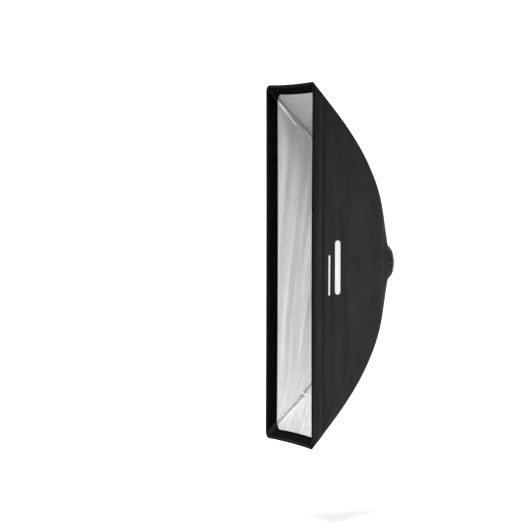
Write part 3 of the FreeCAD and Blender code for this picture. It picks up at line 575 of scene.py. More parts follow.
def tape(name, dark, light, rib=0.0011, rough=0.75, bump=0.6, along="X", sheen=0.1, spec=0.25):
    """Ribbed tape or webbing: ribs across the run, a fine twill over them."""
    m = Mat(name)
    co = m.coords(True)
    sep = m.node("ShaderNodeSeparateXYZ")
    m.link(co, sep.inputs[0])
    v = sep.outputs[1] if along == "X" else sep.outputs[0]
    o = sep.outputs[0] if along == "X" else sep.outputs[1]
    r = m.math("ABSOLUTE", m.math("SINE", m.math("MULTIPLY", v, math.pi / rib)))
    d = m.math("SINE", m.math("MULTIPLY", m.math("ADD", v, o), 2 * math.pi / (rib * 1.6)))
    h = m.math("ADD", m.math("MULTIPLY", r, 0.7), m.math("MULTIPLY", d, 0.15))
    nz = m.noise(co, 140.0, 3)
    m.link(m.ramp(nz, [(0.3, dark), (0.7, light)]), m.bsdf.inputs["Base Color"])
    m.link(m.mapr(nz, 0.3, 0.7, rough - 0.08, rough + 0.08), m.bsdf.inputs["Roughness"])
    m.link(m.bump(h, bump, rib * 0.4), m.bsdf.inputs["Normal"])
    m.set(Sheen_Weight=sheen, Sheen_Roughness=0.4, Specular_IOR_Level=spec)
    return m.m


def pile(name, dark, light, scale=1500.0, rough=0.95, sheen=0.03):
    m = Mat(name)
    co = m.coords(True)
    a = m.noise(co, scale, 2, 0.7, 0.6)
    b = m.noise(co, scale * 0.28, 3, 0.6)
    h = m.math("ADD", m.math("MULTIPLY", a, 0.7), m.math("MULTIPLY", b, 0.5))
    m.link(m.ramp(h, [(0.4, dark), (0.8, light)]), m.bsdf.inputs["Base Color"])
    m.link(m.mapr(b, 0.3, 0.7, rough - 0.05, rough), m.bsdf.inputs["Roughness"])
    m.link(m.bump(h, 0.9, 0.0006), m.bsdf.inputs["Normal"])
    m.set(Sheen_Weight=sheen, Sheen_Roughness=0.6, Specular_IOR_Level=0.02)
    return m.m


def hard(name, base, dark, rough=0.4, metallic=0.0, grain=400.0, grain_scale=(1, 1, 1), bump=0.15, edge=None, coat=0.0,
         spec=0.5, spread=0.08):
    m = Mat(name)
    co = m.coords(False, grain_scale)
    a = m.noise(co, grain, 3, 0.6)
    b = m.noise(m.coords(False), 22.0, 4, 0.55)
    col = m.ramp(m.math("ADD", m.math("MULTIPLY", a, 0.45), m.math("MULTIPLY", b, 0.55)), [(0.32, dark), (0.68, base)])
    if edge is not None:
        geo = m.node("ShaderNodeNewGeometry")
        e = m.mapr(geo.outputs["Pointiness"], 0.54, 0.64, 0.0, 1.0)
        e2 = m.math("MULTIPLY", e, m.mapr(b, 0.42, 0.6, 0.0, 0.8), clamp=True)
        mx = m.node("ShaderNodeMix", data_type="RGBA")
        m.link(e2, mx.inputs["Factor"])
        m.link(col, mx.inputs["A"])
        mx.inputs["B"].default_value = (*edge, 1)
        col = mx.outputs["Result"]
    m.link(col, m.bsdf.inputs["Base Color"])
    m.link(m.mapr(b, 0.3, 0.7, rough - spread, rough + spread), m.bsdf.inputs["Roughness"])
    m.link(m.bump(a, bump, 0.0003), m.bsdf.inputs["Normal"])
    m.set(Metallic=metallic, Coat_Weight=coat, Specular_IOR_Level=spec)
    return m.m


M = {}
M["outer"] = cloth("black_nylon", (0.0026, 0.0026, 0.0028), (0.0058, 0.0058, 0.0061), pitch=0.00062, rough=0.46,
                   sheen=0.0, sheen_rough=0.4, bump=0.10, wrinkle=0.25, spec=0.115, streak=0.3)
M["silver"] = cloth("silver_satin", (0.67, 0.661, 0.664), (0.79, 0.781, 0.784), pitch=0.00050, rough=0.40,
                    sheen=0.03, sheen_rough=0.3, bump=0.06, wrinkle=0.22, spec=0.5, metallic=0.45, streak=0.25)
# painted shade: the same silver satin made darker for the top and bottom linings, so these walls look less lit than
# the side linings
M["silver_shaded_end"] = cloth("silver_satin_painted_shade", (0.36, 0.355, 0.358), (0.46, 0.453, 0.456), pitch=0.00050, rough=0.50,
                        sheen=0.03, sheen_rough=0.3, bump=0.06, wrinkle=0.14, spec=0.4, metallic=0.45, streak=0.3, run=(45, 4.0))
M["lip"] = cloth("lip_cloth", (0.0008, 0.0008, 0.0009), (0.0020, 0.0020, 0.0022), pitch=0.0006, rough=0.85,
                 sheen=0.0, bump=0.3, wrinkle=0.2, spec=0.01)
M["binding"] = tape("binding_tape", (0.0020, 0.0020, 0.0022), (0.0055, 0.0055, 0.006), rib=0.0009, rough=0.7, bump=0.5, sheen=0.0, spec=0.06)
M["pocket"] = tape("pocket_webbing", (0.0016, 0.0016, 0.0017), (0.0045, 0.0045, 0.005), rib=0.0013, rough=0.75, bump=0.5, sheen=0.02, spec=0.07)
M["strap"] = tape("silver_strap", (0.32, 0.32, 0.325), (0.42, 0.42, 0.425), rib=0.001, rough=0.5, bump=0.5)
M["loop"] = pile("loop_pile", (0.0006, 0.0006, 0.0007), (0.0024, 0.0024, 0.0026), sheen=0.004)
M["hook"] = pile("hook_pile", (0.003, 0.003, 0.0032), (0.02, 0.02, 0.021), 900.0, 0.7)
M["thread_black"] = tape("thread_black", (0.0025, 0.0025, 0.0026), (0.007, 0.007, 0.0075), rib=0.0007, rough=0.65, bump=0.7, sheen=0.02, spec=0.1)
M["elastic"] = tape("elastic_band", (0.008, 0.008, 0.009), (0.02, 0.02, 0.021), rib=0.0016, rough=0.7, bump=0.8, along="Y")
M["rod"] = hard("rod_steel", (0.50, 0.50, 0.505), (0.36, 0.36, 0.365), rough=0.22, metallic=1.0, grain=260.0, bump=0.05, spread=0.04)
M["cap"] = hard("cap_rubber", (0.022, 0.022, 0.022), (0.012, 0.012, 0.012), rough=0.72, bump=0.3, spec=0.3)
M["ring"] = hard("ring_anodised", (0.03, 0.03, 0.032), (0.018, 0.018, 0.019), rough=0.46, metallic=0.6, grain=700.0,
                 bump=0.35, edge=(0.35, 0.35, 0.36))
M["plate"] = hard("plate_satin", (0.66, 0.66, 0.67), (0.5, 0.5, 0.51), rough=0.3, metallic=1.0, grain=300.0,
                  grain_scale=(1, 6, 1), bump=0.12)
M["liner"] = hard("liner_moulded", (0.035, 0.035, 0.037), (0.022, 0.022, 0.023), rough=0.5, bump=0.2)
M["glide"] = hard("glide_ptfe", (0.8, 0.8, 0.78), (0.68, 0.68, 0.66), rough=0.42, bump=0.1)
M["screw"] = hard("screw_zinc", (0.68, 0.68, 0.66), (0.5, 0.5, 0.49), rough=0.28, metallic=1.0, bump=0.1)
M["knob"] = hard("knob_moulded", (0.02, 0.02, 0.021), (0.011, 0.011, 0.012), rough=0.48, grain=900.0, bump=0.4)
M["snap"] = hard("snap_plated", (0.74, 0.74, 0.75), (0.55, 0.55, 0.56), rough=0.2, metallic=1.0, bump=0.08)
M["print"] = hard("print_pale", (0.74, 0.74, 0.74), (0.6, 0.6, 0.6), rough=0.6, bump=0.25)


def paint(node, mat):
    o = nodes[node]
    if not o.material_slots:
        o.data.materials.append(mat)
    for s_ in o.material_slots:
        s_.material = mat
    for p in o.data.polygons:
        p.material_index = 0


for n in ("rod_upper_right", "rod_upper_left", "rod_lower_right", "rod_lower_left"):
    paint(n, M["rod"])
paint("rod_tip_caps", M["cap"])
paint("rod_ring", M["ring"])
paint("retainer_ring", M["ring"])
paint("retainer_screws", M["screw"])
paint("socket_liners", M["liner"])
paint("glide_ring", M["glide"])
paint("brake_pad", M["glide"])
paint("mount_plate", M["plate"])
paint("lock_screw", M["screw"])
paint("lock_knob", M["knob"])
paint("tab_snaps", M["snap"])

# ------------------------------------------------------------------------------------------
# wrinkles
# ------------------------------------------------------------------------------------------


def panel_xy(P, kind):
    """Flat coordinates of a wall: a, slant distance behind the front edge; b, the long direction."""
    du = np.linalg.norm(np.diff(P, axis=0), axis=-1)
    mid = du[:, du.shape[1] // 2]
    a = np.concatenate([[0], np.cumsum(mid)])[:, None] + 0 * P[..., 0]
    b = P[..., 2] if kind == "side" else P[..., 0]
    return a, b


def edge_fade(m, H, width):
    return smooth((H - np.abs(m)) / width)


def outer_wrinkle(P, kind, seed, m, H):
    a, b = panel_xy(P, kind)
    d = P[..., 1] + DEPTH
    w = 0.0
    if kind == "side":
        lean = 0.16 * b * np.abs(b)
        w = 0.5 * folds(a + lean, b, 0.055, 0.55, seed) + 0.28 * folds(a + lean, b, 0.024, 0.30, seed + 1)
        # drawn in towards the ring
        ph = np.arctan2(b, 0.60 - a)
        r = np.hypot(0.60 - a, b)
        near = smooth(1.25 - r / 0.50)
        w = w + near * (0.65 * folds(ph * 0.30, r, 0.062, 0.40, seed + 2) + 0.3 * folds(ph * 0.30, r, 0.026, 0.22, seed + 3))
        # fanning out of the lower front corner, weaker out of the upper one
        for sgn, k in ((-1, 1.0), (1, 0.55)):
            rb = 0.71 - sgn * b
            g = 1 - np.exp(-np.maximum(rb, 0.0) / 0.22)
            q = (a + 0.012) / np.maximum(g, 0.06)
            w = w + k * smooth(1.2 - rb / 0.55) * smooth(rb / 0.06) * (0.75 * folds(q, rb, 0.050, 0.5, seed + 5 + sgn) + 0.3 * folds(q, rb, 0.020, 0.3, seed + 8 + sgn))
        line = 0.0465
    else:
        w = 0.5 * folds(b + 0.1 * a, a, 0.040, 0.35, seed) + 0.3 * folds(b, a, 0.018, 0.2, seed + 1)
        line = 0.033
    soft = edge_fade(m, H, 0.03) * smooth((d - 0.008) / 0.022) * (1 - smooth((d - 0.375) / 0.035))
    # the lip's sewing line draws the cloth in
    held = 1 - 0.85 * ridge(d - line, 0.0075)
    w = np.clip(-0.0020 + w * 0.0026, -0.0046, 0.0003)
    if kind == "end":
        flap = (1 - smooth((np.abs(P[..., 0]) - 0.048) / 0.02)) * smooth((np.abs(P[..., 2]) - 0.08) / 0.02) * (1 - smooth((np.abs(P[..., 2]) - 0.245) / 0.03))
        w = w * (1 - flap)
    return w * soft * held


def lining_wrinkle(P, kind, sign, seed, m, H):
    """Inward folds of the lining, metres, never far outwards."""
    a, b = panel_xy(P, kind)
    d = P[..., 1] + DEPTH
    gap = H - np.abs(m)
    if kind == "side":
        rb = b + 0.715
        g = 1 - np.exp(-np.maximum(rb, 0.0) / 0.26)
        q = (a + 0.006 + 0.035 * np.sin(np.clip(rb, 0, 1.5) * 3.3) * smooth(rb / 0.5)) / np.maximum(g, 0.05)
        low = 1 - smooth((rb - 0.25) / 0.65)
        w = (0.95 + 0.55 * low) * folds(q, rb, 0.040, 0.62, seed) + (0.42 + 0.35 * low) * folds(q, rb, 0.0195, 0.42, seed + 1)
        w = w + (0.08 + 0.14 * low) * folds(q, rb, 0.010, 0.26, seed + 2)
        w = w + 0.5 * folds(q + 0.2 * a, rb, 0.075, 0.9, seed + 3)
        w = w * (0.25 + 0.75 * smooth(rb / 0.16))
        rt = 0.715 - b
        gt = 1 - np.exp(-np.maximum(rt, 0.0) / 0.16)
        qt = (a + 0.01) / np.maximum(gt, 0.06)
        w = w * (1 - 0.35 * smooth(1.2 - rt / 0.35)) + 0.55 * smooth(1.2 - rt / 0.32) * smooth(rt / 0.05) * folds(qt, rt, 0.030, 0.4, seed + 4)
        amp = 0.0021
        lip = 0.0465
    else:
        w = 0.0
        for sgn in (-1, 1):
            ra, rb = a + 0.004, 0.182 - sgn * b
            r = np.hypot(ra, rb)
            ph = np.arctan2(rb, ra)
            k = smooth(1.3 - r / 0.40) * (0.3 + 0.7 * smooth(r / 0.08))
            w = w + k * (0.8 * folds(ph * 0.2, r, 0.026, 0.4, seed + sgn) + 0.5 * folds(ph * 0.2, r, 0.011, 0.2, seed + 3 + sgn))
        w = w + 0.7 * folds(b + 0.7 * a, a, 0.026, 0.7, seed + 5) + 0.3 * folds(b + 0.8 * a, a, 0.011, 0.4, seed + 6)
        amp = 0.0026
        lip = 0.033 + 0.0135 * np.clip(1 - gap / 0.051, 0, 1)
    w = np.clip(w * amp + (0.0 if kind == "side" else 0.0010), -0.0009, 0.0042)
    if kind == "side":
        # a raised fold beside the rod, from the corner to where the strap pulls
        up = m > 0
        line = 0.0125 + 0.155 * np.clip(d - 0.046, 0, 0.084) + 0.05 * np.clip(d - 0.13, 0, 1)
        k = smooth((d - 0.044) / 0.008) * (1 - 0.60 * smooth((d - 0.130) / 0.008)) * (1 - smooth((d - 0.160) / 0.025))
        w = np.where(up, w * (1 - 0.85 * ridge(gap - line, 0.018) * k), w)
        w = w + np.where(up, 0.0056, 0.0008) * ridge(gap - line, 0.0031 + 0.0045 * d) * k
        pull = ridge(np.hypot((gap - 0.027) / 1.2, d - 0.1345), 0.0065)
        w = w - np.where(up, 0.0050, 0.0008) * pull
        w = w - np.where(up, 0.0016, 0.0) * ridge(gap - 0.039, 0.007) * ridge(d - 0.122, 0.011)
        w = w + np.where(up, 0.0022, 0.0) * ridge((gap - 0.034) + 0.9 * (d - 0.138), 0.0035) * ridge(d - 0.138, 0.016)
    w = np.clip(w, -0.0011, 0.0066)
    w = w * smooth((d - lip + 0.001) / 0.007)
    if kind == "end":
        # flat where the rod straps are sewn down
        w = w * (1 - (1 - smooth((np.abs(d - 0.157) - 0.009) / 0.014)) * (1 - smooth((gap - 0.090) / 0.025)))
    return w * edge_fade(m, H, 0.014)


# ------------------------------------------------------------------------------------------
# walls
# ------------------------------------------------------------------------------------------
OUT_T = 0.0006
LIN_A, LIN_B = 0.0021, 0.0026
LIP_A, LIP_B = 0.0032, 0.0041
TAPE_A, TAPE_B = 0.0042, 0.0054

Z_SLOT = (0.130, 0.210)
u_slot = sorted([u_at(2, Z_SLOT[0]), u_at(2, Z_SLOT[1])])


def rows(n, a=0.0, b=1.0, extra=()):
    base = np.linspace(a, b, n)
    base = [x for x in base if all(abs(x - e) > 0.35 / n for e in extra)]
    return np.array(sorted(list(base) + list(extra)))


def build_wall(kind, sign, label, layer, u, cols, off_a, off_b, mat, wrinkle, slot=False, name=None):
    P, t, m = wall_points(kind, sign, u, cols)
    N = normals_of(P, kind, sign)
    H = (seam(u)[:, 2] if kind == "side" else seam(u)[:, 1])[:, None]
    w = wrinkle(P, m, H)[..., None]
    a = P - N * (off_a + w)
    b = P - N * (off_b + w)
    mask = None
    if slot:
        zc = seam(u)[:, 2]
        zm = (zc[:-1] + zc[1:]) / 2
        xm = (m[:, :-1] + m[:, 1:]) / 2
        xm = (xm[:-1] + xm[1:]) / 2
        mask = ~((np.abs(xm) < 0.0309) & ((zm > Z_SLOT[0]) & (zm < Z_SLOT[1]))[:, None])
    ob = closed_sheet(name or ("%s_%s" % (layer, label)), a, b, grid_uv(P), mat, mask)
    quad = np.linalg.norm(np.cross(P[1:, :-1] - P[:-1, :-1], P[:-1, 1:] - P[:-1, :-1]), axis=-1)
    if mask is not None:
        quad = quad * mask
    return ob, P, N, m


LABELS = {("side", 1): "right", ("side", -1): "left", ("end", 1): "top", ("end", -1): "bottom"}
CADS = {
    "right": ("side_panel_right", "side_lining_right", "front_lip_right", "loop_tape_right"),
    "left": ("side_panel_left", "side_lining_left", "front_lip_left", "loop_tape_left"),
    "top": ("top_panel", "top_lining", "front_lip_top", "loop_tape_top"),
    "bottom": ("bottom_panel", "bottom_lining", "front_lip_bottom", "loop_tape_bottom"),
}
OUTER_GRID = {}



for (kind, sign), label in LABELS.items():
    cads = CADS[label]
    seed = {"right": 11, "left": 31, "top": 51, "bottom": 71}[label]
    side = kind == "side"
    if side:
        u_o = np.concatenate([np.linspace(0.0, 0.12, 26)[:-1], rows(84, 0.12, 1.0)])
        cols_o = side_cols(200)
        u_l = np.concatenate([np.linspace(0.0, 0.42, 76)[:-1], np.linspace(0.42, 0.992, 70)])
        cols_l = side_cols(250, FINE)
        cols_t = side_cols(120)
    else:
        u_o = rows(84, extra=u_slot)
        cols_o = end_cols(9, 14)
        u_l = rows(190, 0.0, 0.992, extra=u_slot)
        cols_l = end_cols(17, 34)
        cols_t = end_cols(9, 14)
    ob, P, N, m = build_wall(kind, sign, label, "cloth", u_o, cols_o, 0.0, OUT_T, M["outer"],
                             lambda P_, m_, H_: outer_wrinkle(P_, kind, seed, m_, H_), slot=not side)
    OUTER_GRID[label] = (u_o, m, outer_wrinkle(P, kind, seed, m, seam(u_o)[:, 2 if side else 1][:, None]))
    # the lip's sewing line, seen from outside
    line = 0.0465 if side else 0.033
    u_s = np.array([u_at(0, line - 0.001), u_at(0, line), u_at(0, line + 0.001)])
    edge_cols = (lambda h, n_=(240 if side else 60): np.linspace(-(h - 0.012), h - 0.012, n_))
    Ps, _, ms = wall_points(kind, sign, u_s, edge_cols)
    Ns = normals_of(Ps, kind, sign)
    g_ = int(np.argmin(np.abs(u_o - u_s[1])))
    Ps = Ps - Ns * np.interp(ms[1], m[g_], OUTER_GRID[label][2][g_])[None, :, None]
    st = stitches("stitch_lip_outside_" + label, Ps[1], Ns[1], M["thread_black"], pitch=0.0062, length=0.0044, radius=0.00045)
    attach(st, "softbox")
    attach(ob, "softbox")
    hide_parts(cads[0])
    # the top and bottom linings take the darker silver copy: painted shade
    ob, P, N, m = build_wall(kind, sign, label, "lining", u_l, cols_l, LIN_A, LIN_B, M["silver" if side else "silver_shaded_end"],
                             lambda P_, m_, H_: lining_wrinkle(P_, kind, sign, seed + 5, m_, H_), slot=not side)
    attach(ob, "softbox")
    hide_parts(cads[1])
    # lip inside the front edge
    d_lip = 0.0465 if side else 0.033
    u_lip = np.linspace(0.0, u_at(0, d_lip), 12)
    ob, P, N, m = build_wall(kind, sign, label, "lip", u_lip, cols_t, LIP_A, LIP_B, M["lip"],
                             lambda P_, m_, H_: 0.0004 * value_noise(m_ / 0.05, P_[..., 1] / 0.03, seed + 9) * edge_fade(m_, H_, 0.03))
    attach(ob, "softbox")
    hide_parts(cads[2])
    lip_rear = (P[-1] - N[-1] * LIP_B, N[-1], m[-1])
    lip_rear4 = (P[-2] - N[-2] * (LIP_B + 0.0001), -N[-2], m[-2])
    # loop tape on the lip
    d0, d1 = (0.009, 0.034) if side else (0.007, 0.024)
    cut = 0.040 if side else 0.038
    u_t = np.linspace(u_at(0, d0), u_at(0, d1), 7)
    n_t = 110 if side else 34
    lim_cols = (lambda h, n_=n_t, c_=cut: np.linspace(-(h - c_), h - c_, n_))
    ob, P, N, m = build_wall(kind, sign, label, "loop_tape", u_t, lim_cols, TAPE_A, TAPE_B, M["loop"], lambda P_, m_, H_: 0 * m_, name="loop_strip_" + label)
    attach(ob, "softbox")
    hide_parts(cads[3])
    for tag, dd in (("a", d0 + 0.002), ("b", d1 - 0.002)):
        u_s = np.array([u_at(0, dd) - 0.002, u_at(0, dd), u_at(0, dd) + 0.002])
        Ps, _, ms = wall_points(kind, sign, u_s, lim_cols)
        Ns = normals_of(Ps, kind, sign)
        st = stitches("stitch_tape_%s_%s" % (label, tag), Ps[1] - Ns[1] * TAPE_B, -Ns[1], M["thread_black"], pitch=0.006, length=0.004, radius=0.0004)
        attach(st, "softbox")
    # stitching that holds the lip's inner edge to the lining
    sel = np.abs(lip_rear4[2]) < (seam(u_lip[-2])[0][2 if side else 1] - 0.03)
    st = stitches("stitch_lip_" + label, lip_rear4[0][sel], lip_rear4[1][sel], M["thread_black"], pitch=0.006, length=0.0042, radius=0.00045)
    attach(st, "softbox")

# the short walls' lip widens into each corner to meet the long walls' deeper lip
for sz, label in ((1, "top"), (-1, "bottom")):
    for sx, hand in ((1, "right"), (-1, "left")):
        gaps = np.linspace(0.0015, 0.051, 19)
        gaps = gaps if sx < 0 else gaps[::-1]
        dd = np.linspace(0.030, 0.048, 25)
        uu = np.array([u_at(0, x) for x in dd])
        P, t, m = wall_points("end", sz, uu, lambda h, g=gaps, s_=sx: s_ * (h - g))
        N = normals_of(P, "end", sz)
        end_d = 0.0331 + 0.0134 * (1 - gaps / 0.051)
        tt = np.linspace(0, 1, 8)[:, None]
        want = 0.0324 + (end_d[None, :] - 0.0324) * tt
        G = np.stack([np.stack([np.interp(want[:, j], dd, P[:, j, k]) for k in range(3)], -1) for j in range(len(gaps))], 1)
        GN = np.stack([np.stack([np.interp(want[:, j], dd, N[:, j, k]) for k in range(3)], -1) for j in range(len(gaps))], 1)
        gs = closed_sheet("lip_gusset_%s_%s" % (label, hand), G - GN * (LIP_A + 0.00005), G - GN * (LIP_B + 0.00012), grid_uv(G), M["lip"])
        fix_normals(gs)
        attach(gs, "softbox")

# ------------------------------------------------------------------------------------------
# plain printed bars on the near wall
# ------------------------------------------------------------------------------------------


def wall_at(kind, sign, d, mpos, seed):
    """Points and normals on the outer cloth at depths d and long positions mpos (grids)."""
    uu = np.array([u_at(0, q) for q in d])
    P_, t_, m_ = wall_points(kind, sign, uu, lambda h: mpos)
    N_ = normals_of(P_, kind, sign)
    H_ = (seam(uu)[:, 2] if kind == "side" else seam(uu)[:, 1])[:, None]
    return P_, N_, m_, H_


def printed_bar(name, d0, d1, z0, z1, round_ends):
    zz = np.linspace(z0, z1, int((z1 - z0) / 0.004) + 2)
    dd = np.linspace(d0, d1, 8)
    P_, N_, m_, H_ = wall_at("side", 1, dd, zz, 0)
    # the wall's own wrinkle, looked up on its grid
    from_grid = OUTER_GRID["right"]
    w_ = np.zeros(P_.shape[:2])
    gu, gz, gw = from_grid
    for i, q in enumerate(dd):
        uq = u_at(0, q)
        k_ = np.clip(np.searchsorted(gu, uq) - 1, 0, len(gu) - 2)
        f_ = (uq - gu[k_]) / (gu[k_ + 1] - gu[k_])
        w_[i] = (1 - f_) * np.interp(zz, gz[k_], gw[k_]) + f_ * np.interp(zz, gz[k_ + 1], gw[k_ + 1])
    if round_ends:
        mid, half = (d0 + d1) / 2, (d1 - d0) / 2
        end = np.minimum(zz - z0, z1 - zz)
        kk = np.clip(1 - end / half, 0, 1)
        shrink = np.sqrt(np.clip(1 - kk * kk, 0.0004, 1))
        for i in range(len(dd)):
            pass
        P_mid = P_.mean(axis=0, keepdims=True)
        P_ = P_mid + (P_ - P_mid) * shrink[None, :, None]
    a_ = P_ + N_ * (0.00022 - w_)[..., None]
    b_ = P_ + N_ * (0.00002 - w_)[..., None]
    ob_ = closed_sheet(name, a_, b_, grid_uv(P_), M["print"])
    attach(ob_, "softbox")
    return ob_


printed_bar("printed_bar_wide", 0.110, 0.138, -0.112, 0.098, True)
printed_bar("printed_bar_thin", 0.0785, 0.0860, -0.112, 0.040, False)

# ------------------------------------------------------------------------------------------
# front edge binding
# ------------------------------------------------------------------------------------------


def front_loop():
    """Front edge points, and each one's inward and rearward directions, all the way round."""
    pts, e1, e2 = [], [], []
    du = 0.004
    u = np.array([0.0, du, 2 * du])
    parts = (("side", 1, 1), ("end", 1, -1), ("side", -1, -1), ("end", -1, 1))
    for kind, sign, order in parts:
        cols = side_cols(118) if kind == "side" else side_cols(32)
        P, t, m = wall_points(kind, sign, u, cols)
        N = normals_of(P, kind, sign)
        back = P[1] - P[0]
        back /= np.linalg.norm(back, axis=1, keepdims=True)
        p, n_ = P[0], -N[0]
        if order < 0:
            p, n_, back = p[::-1], n_[::-1], back[::-1]
        pts.append(p)
        e1.append(n_)
        e2.append(back)
    out_p, out_1, out_2 = [], [], []
    for k in range(4):
        out_p.append(pts[k][1:-1])
        out_1.append(e1[k][1:-1])
        out_2.append(e2[k][1:-1])
        j = (k + 1) % 4
        out_p.append((pts[k][-1] + pts[j][0])[None] / 2)
        a = e1[k][-1] + e1[j][0]
        out_1.append((a / np.linalg.norm(a))[None])
        b = e2[k][-1] + e2[j][0]
        out_2.append((b / np.linalg.norm(b))[None])
    return np.concatenate(out_p), np.concatenate(out_1), np.concatenate(out_2)


fp, f1, f2 = front_loop()
section = [
    (-0.0010, 0.0095), (-0.0011, 0.0060), (-0.0011, 0.0010), (-0.0008, -0.0006), (0.0002, -0.0017), (0.0018, -0.0021),
    (0.0034, -0.0018), (0.0046, -0.0008), (0.0051, 0.0008), (0.0052, 0.0060), (0.0051, 0.0095),
    (0.0043, 0.0096), (0.0042, 0.0060), (0.0040, 0.0012), (0.0030, 0.0000), (0.0018, -0.0004), (0.0006, 0.0000),
    (-0.0001, 0.0012), (-0.0002, 0.0060), (-0.0002, 0.0096),
]
hem = section_sweep("front_edge_binding", fp, f1, f2, section, M["binding"])
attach(hem, "softbox")
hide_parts("front_binding")
closed = np.arange(len(fp))
loop_idx = np.concatenate([closed, [0]])
st = stitches("stitch_binding_outer", (fp + f1 * -0.00105 + f2 * 0.0072)[loop_idx], (-f1)[loop_idx], M["thread_black"], pitch=0.0065, length=0.0044, radius=0.0004)
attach(st, "softbox")
st = stitches("stitch_binding_inner", (fp + f1 * 0.0052 + f2 * 0.0072)[loop_idx], f1[loop_idx], M["thread_black"], pitch=0.0065, length=0.0044, radius=0.0004)
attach(st, "softbox")

# ------------------------------------------------------------------------------------------
# seams along the rods: piping outside, bound seam inside, stitch rows
# ------------------------------------------------------------------------------------------
CORNERS = {"upper_right": (1, 1), "upper_left": (-1, 1), "lower_right": (1, -1), "lower_left": (-1, -1)}


def corner_line(u, sx, sz, inset):
    """Points on the corner's bisector, inset from both walls."""
    cols = side_cols(20)
    Pa, _, _ = wall_points("side", sx, u, cols)
    Na = normals_of(Pa, "side", sx)
    Pb, _, _ = wall_points("end", sz, u, cols)
    Nb = normals_of(Pb, "end", sz)
    ja = -1 if sz > 0 else 0
    jb = -1 if sx > 0 else 0
    n = Na[:, ja] + Nb[:, jb]
    n /= np.linalg.norm(n, axis=1, keepdims=True)
    c = np.clip((n * Na[:, ja]).sum(1), 0.3, 1)
    return Pa[:, ja] - n * (inset / c)[:, None], n


for where, (sx, sz) in CORNERS.items():
    u = np.linspace(0.012, 0.998, 130)
    pts, n = corner_line(u, sx, sz, -0.0001)
    pipe = tube("piping_" + where, pts, 0.0011, M["binding"], sides=8)
    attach(pipe, "softbox")
    u = np.linspace(u_at(0, 0.047), 0.95, 110)
    pts, n = corner_line(u, sx, sz, 0.0042)
    wave = 0.00035 * value_noise(u * 90, u * 0, 5 + sx + 2 * sz)
    bead = tube("bound_seam_" + where, pts - n * wave[:, None], 0.0013, M["silver"], sides=8, squash=(1.0, 1.0))
    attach(bead, "softbox")
    if where == "upper_right":
        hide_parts("seam_bindings")
    # stitch rows beside the piping, on both walls
    for kind, sign, other in (("side", sx, sz), ("end", sz, sx)):
        uu = np.linspace(0.02, 0.985, 220)
        off = 0.0065
        cols = lambda h, o=other: np.array([o * (h - off) - 0.001, o * (h - off), o * (h - off) + 0.001])
        Ps, _, ms = wall_points(kind, sign, uu, cols)
        Ns = normals_of(Ps, kind, sign)
        label = LABELS[(kind, sign)]
        lift = [-np.interp(ms[k_, 1], OUTER_GRID[label][1][g_], OUTER_GRID[label][2][g_]) for k_, g_ in
                enumerate(np.clip(np.searchsorted(OUTER_GRID[label][0], uu), 0, len(OUTER_GRID[label][0]) - 1))]
        Ps = Ps + Ns * np.array(lift)[:, None, None]
        st = stitches("stitch_%s_%s" % (kind, where), Ps[:, 1], Ns[:, 1], M["thread_black"], pitch=0.0062, length=0.0042, radius=0.0004)
        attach(st, "softbox")

# corner pockets for the rod tips
for where, (sx, sz) in CORNERS.items():
    u = np.linspace(u_at(0, 0.004), u_at(0, 0.0455), 12)
    leg, leg_b = 0.0185, 0.0215
    ca = lambda h: np.array([sz * (h - leg) - 0.001, sz * (h - leg), sz * (h - leg) + 0.001])
    cb = lambda h: np.array([sx * (h - leg_b) - 0.001, sx * (h - leg_b), sx * (h - leg_b) + 0.001])
    Pa, _, _ = wall_points("side", sx, u, ca)
    Na = normals_of(Pa, "side", sx)
    u_b = np.linspace(u_at(0, 0.004), u_at(0, 0.0425), 12)
    Pb, _, _ = wall_points("end", sz, u_b, cb)
    Nb = normals_of(Pb, "end", sz)
    A, B = Pa[:, 1] - Na[:, 1] * 0.0048, Pb[:, 1] - Nb[:, 1] * 0.0048
    q = np.linspace(0, 1, 15)
    # feet lie on the walls, the middle is drawn straight over the rod's cap
    ctrlA = A + (Pa[:, 1] - Pa[:, 1]) * 0
    mid = A[:, None] * (1 - q)[None, :, None] + B[:, None] * q[None, :, None]
    bulge = 0.0022 * np.sin(q * math.pi) ** 0.8
    outn = (Na[:, 1] + Nb[:, 1])
    outn /= np.linalg.norm(outn, axis=1, keepdims=True)
    pout = mid + outn[:, None] * bulge[None, :, None] * -1.0
    # feet: 9 mm long, sewn flat
    footA = Pa[:, 1] - Na[:, 1] * 0.0046
    da = np.zeros_like(footA)
    da[:, 2] = -sz
    footA2 = footA + da * 0.006
    db = np.zeros_like(footA)
    db[:, 0] = -sx
    footB = Pb[:, 1] - Nb[:, 1] * 0.0046
    footB2 = footB + db * 0.007
    S = np.concatenate([footA2[:, None], (footA + da * 0.0025)[:, None], pout, (footB + db * 0.003)[:, None], footB2[:, None]], axis=1)
    ns = np.cross(np.gradient(S, axis=0), np.gradient(S, axis=1))
    ns /= np.maximum(np.linalg.norm(ns, axis=-1, keepdims=True), 1e-12)
    inward = -outn
    if (ns[6, 8] * inward[6]).sum() < 0:
        ns = -ns
    uvp = grid_uv(S)
    pk = closed_sheet("corner_pocket_" + where, S + ns * 0.0011, S, uvp, M["pocket"])
    fix_normals(pk)
    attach(pk, "softbox")
    if where == "upper_right":
        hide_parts("corner_pockets")
    for tag, j0, j1 in (("a", 0, 1), ("b", -2, -1)):
        line = (S[:, j0] * 0.5 + S[:, j1] * 0.5)
        st = stitches("stitch_pocket_%s_%s" % (where, tag), line + ns[:, j0] * 0.0011, ns[:, j0], M["thread_black"], pitch=0.005, length=0.0034, radius=0.0004)
        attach(st, "softbox")

# ------------------------------------------------------------------------------------------
# tie straps over the rods
# ------------------------------------------------------------------------------------------
TAB_D, ROD_IN, ROD_R = 0.157, 0.0082, 0.003


def spline_points(pts, n):
    pts = np.asarray(pts, float)
    t = np.concatenate([[0], np.cumsum(np.linalg.norm(np.diff(pts, axis=0), axis=1))])
    f = natural_spline(t, pts)
    return f(np.linspace(0, t[-1], n))


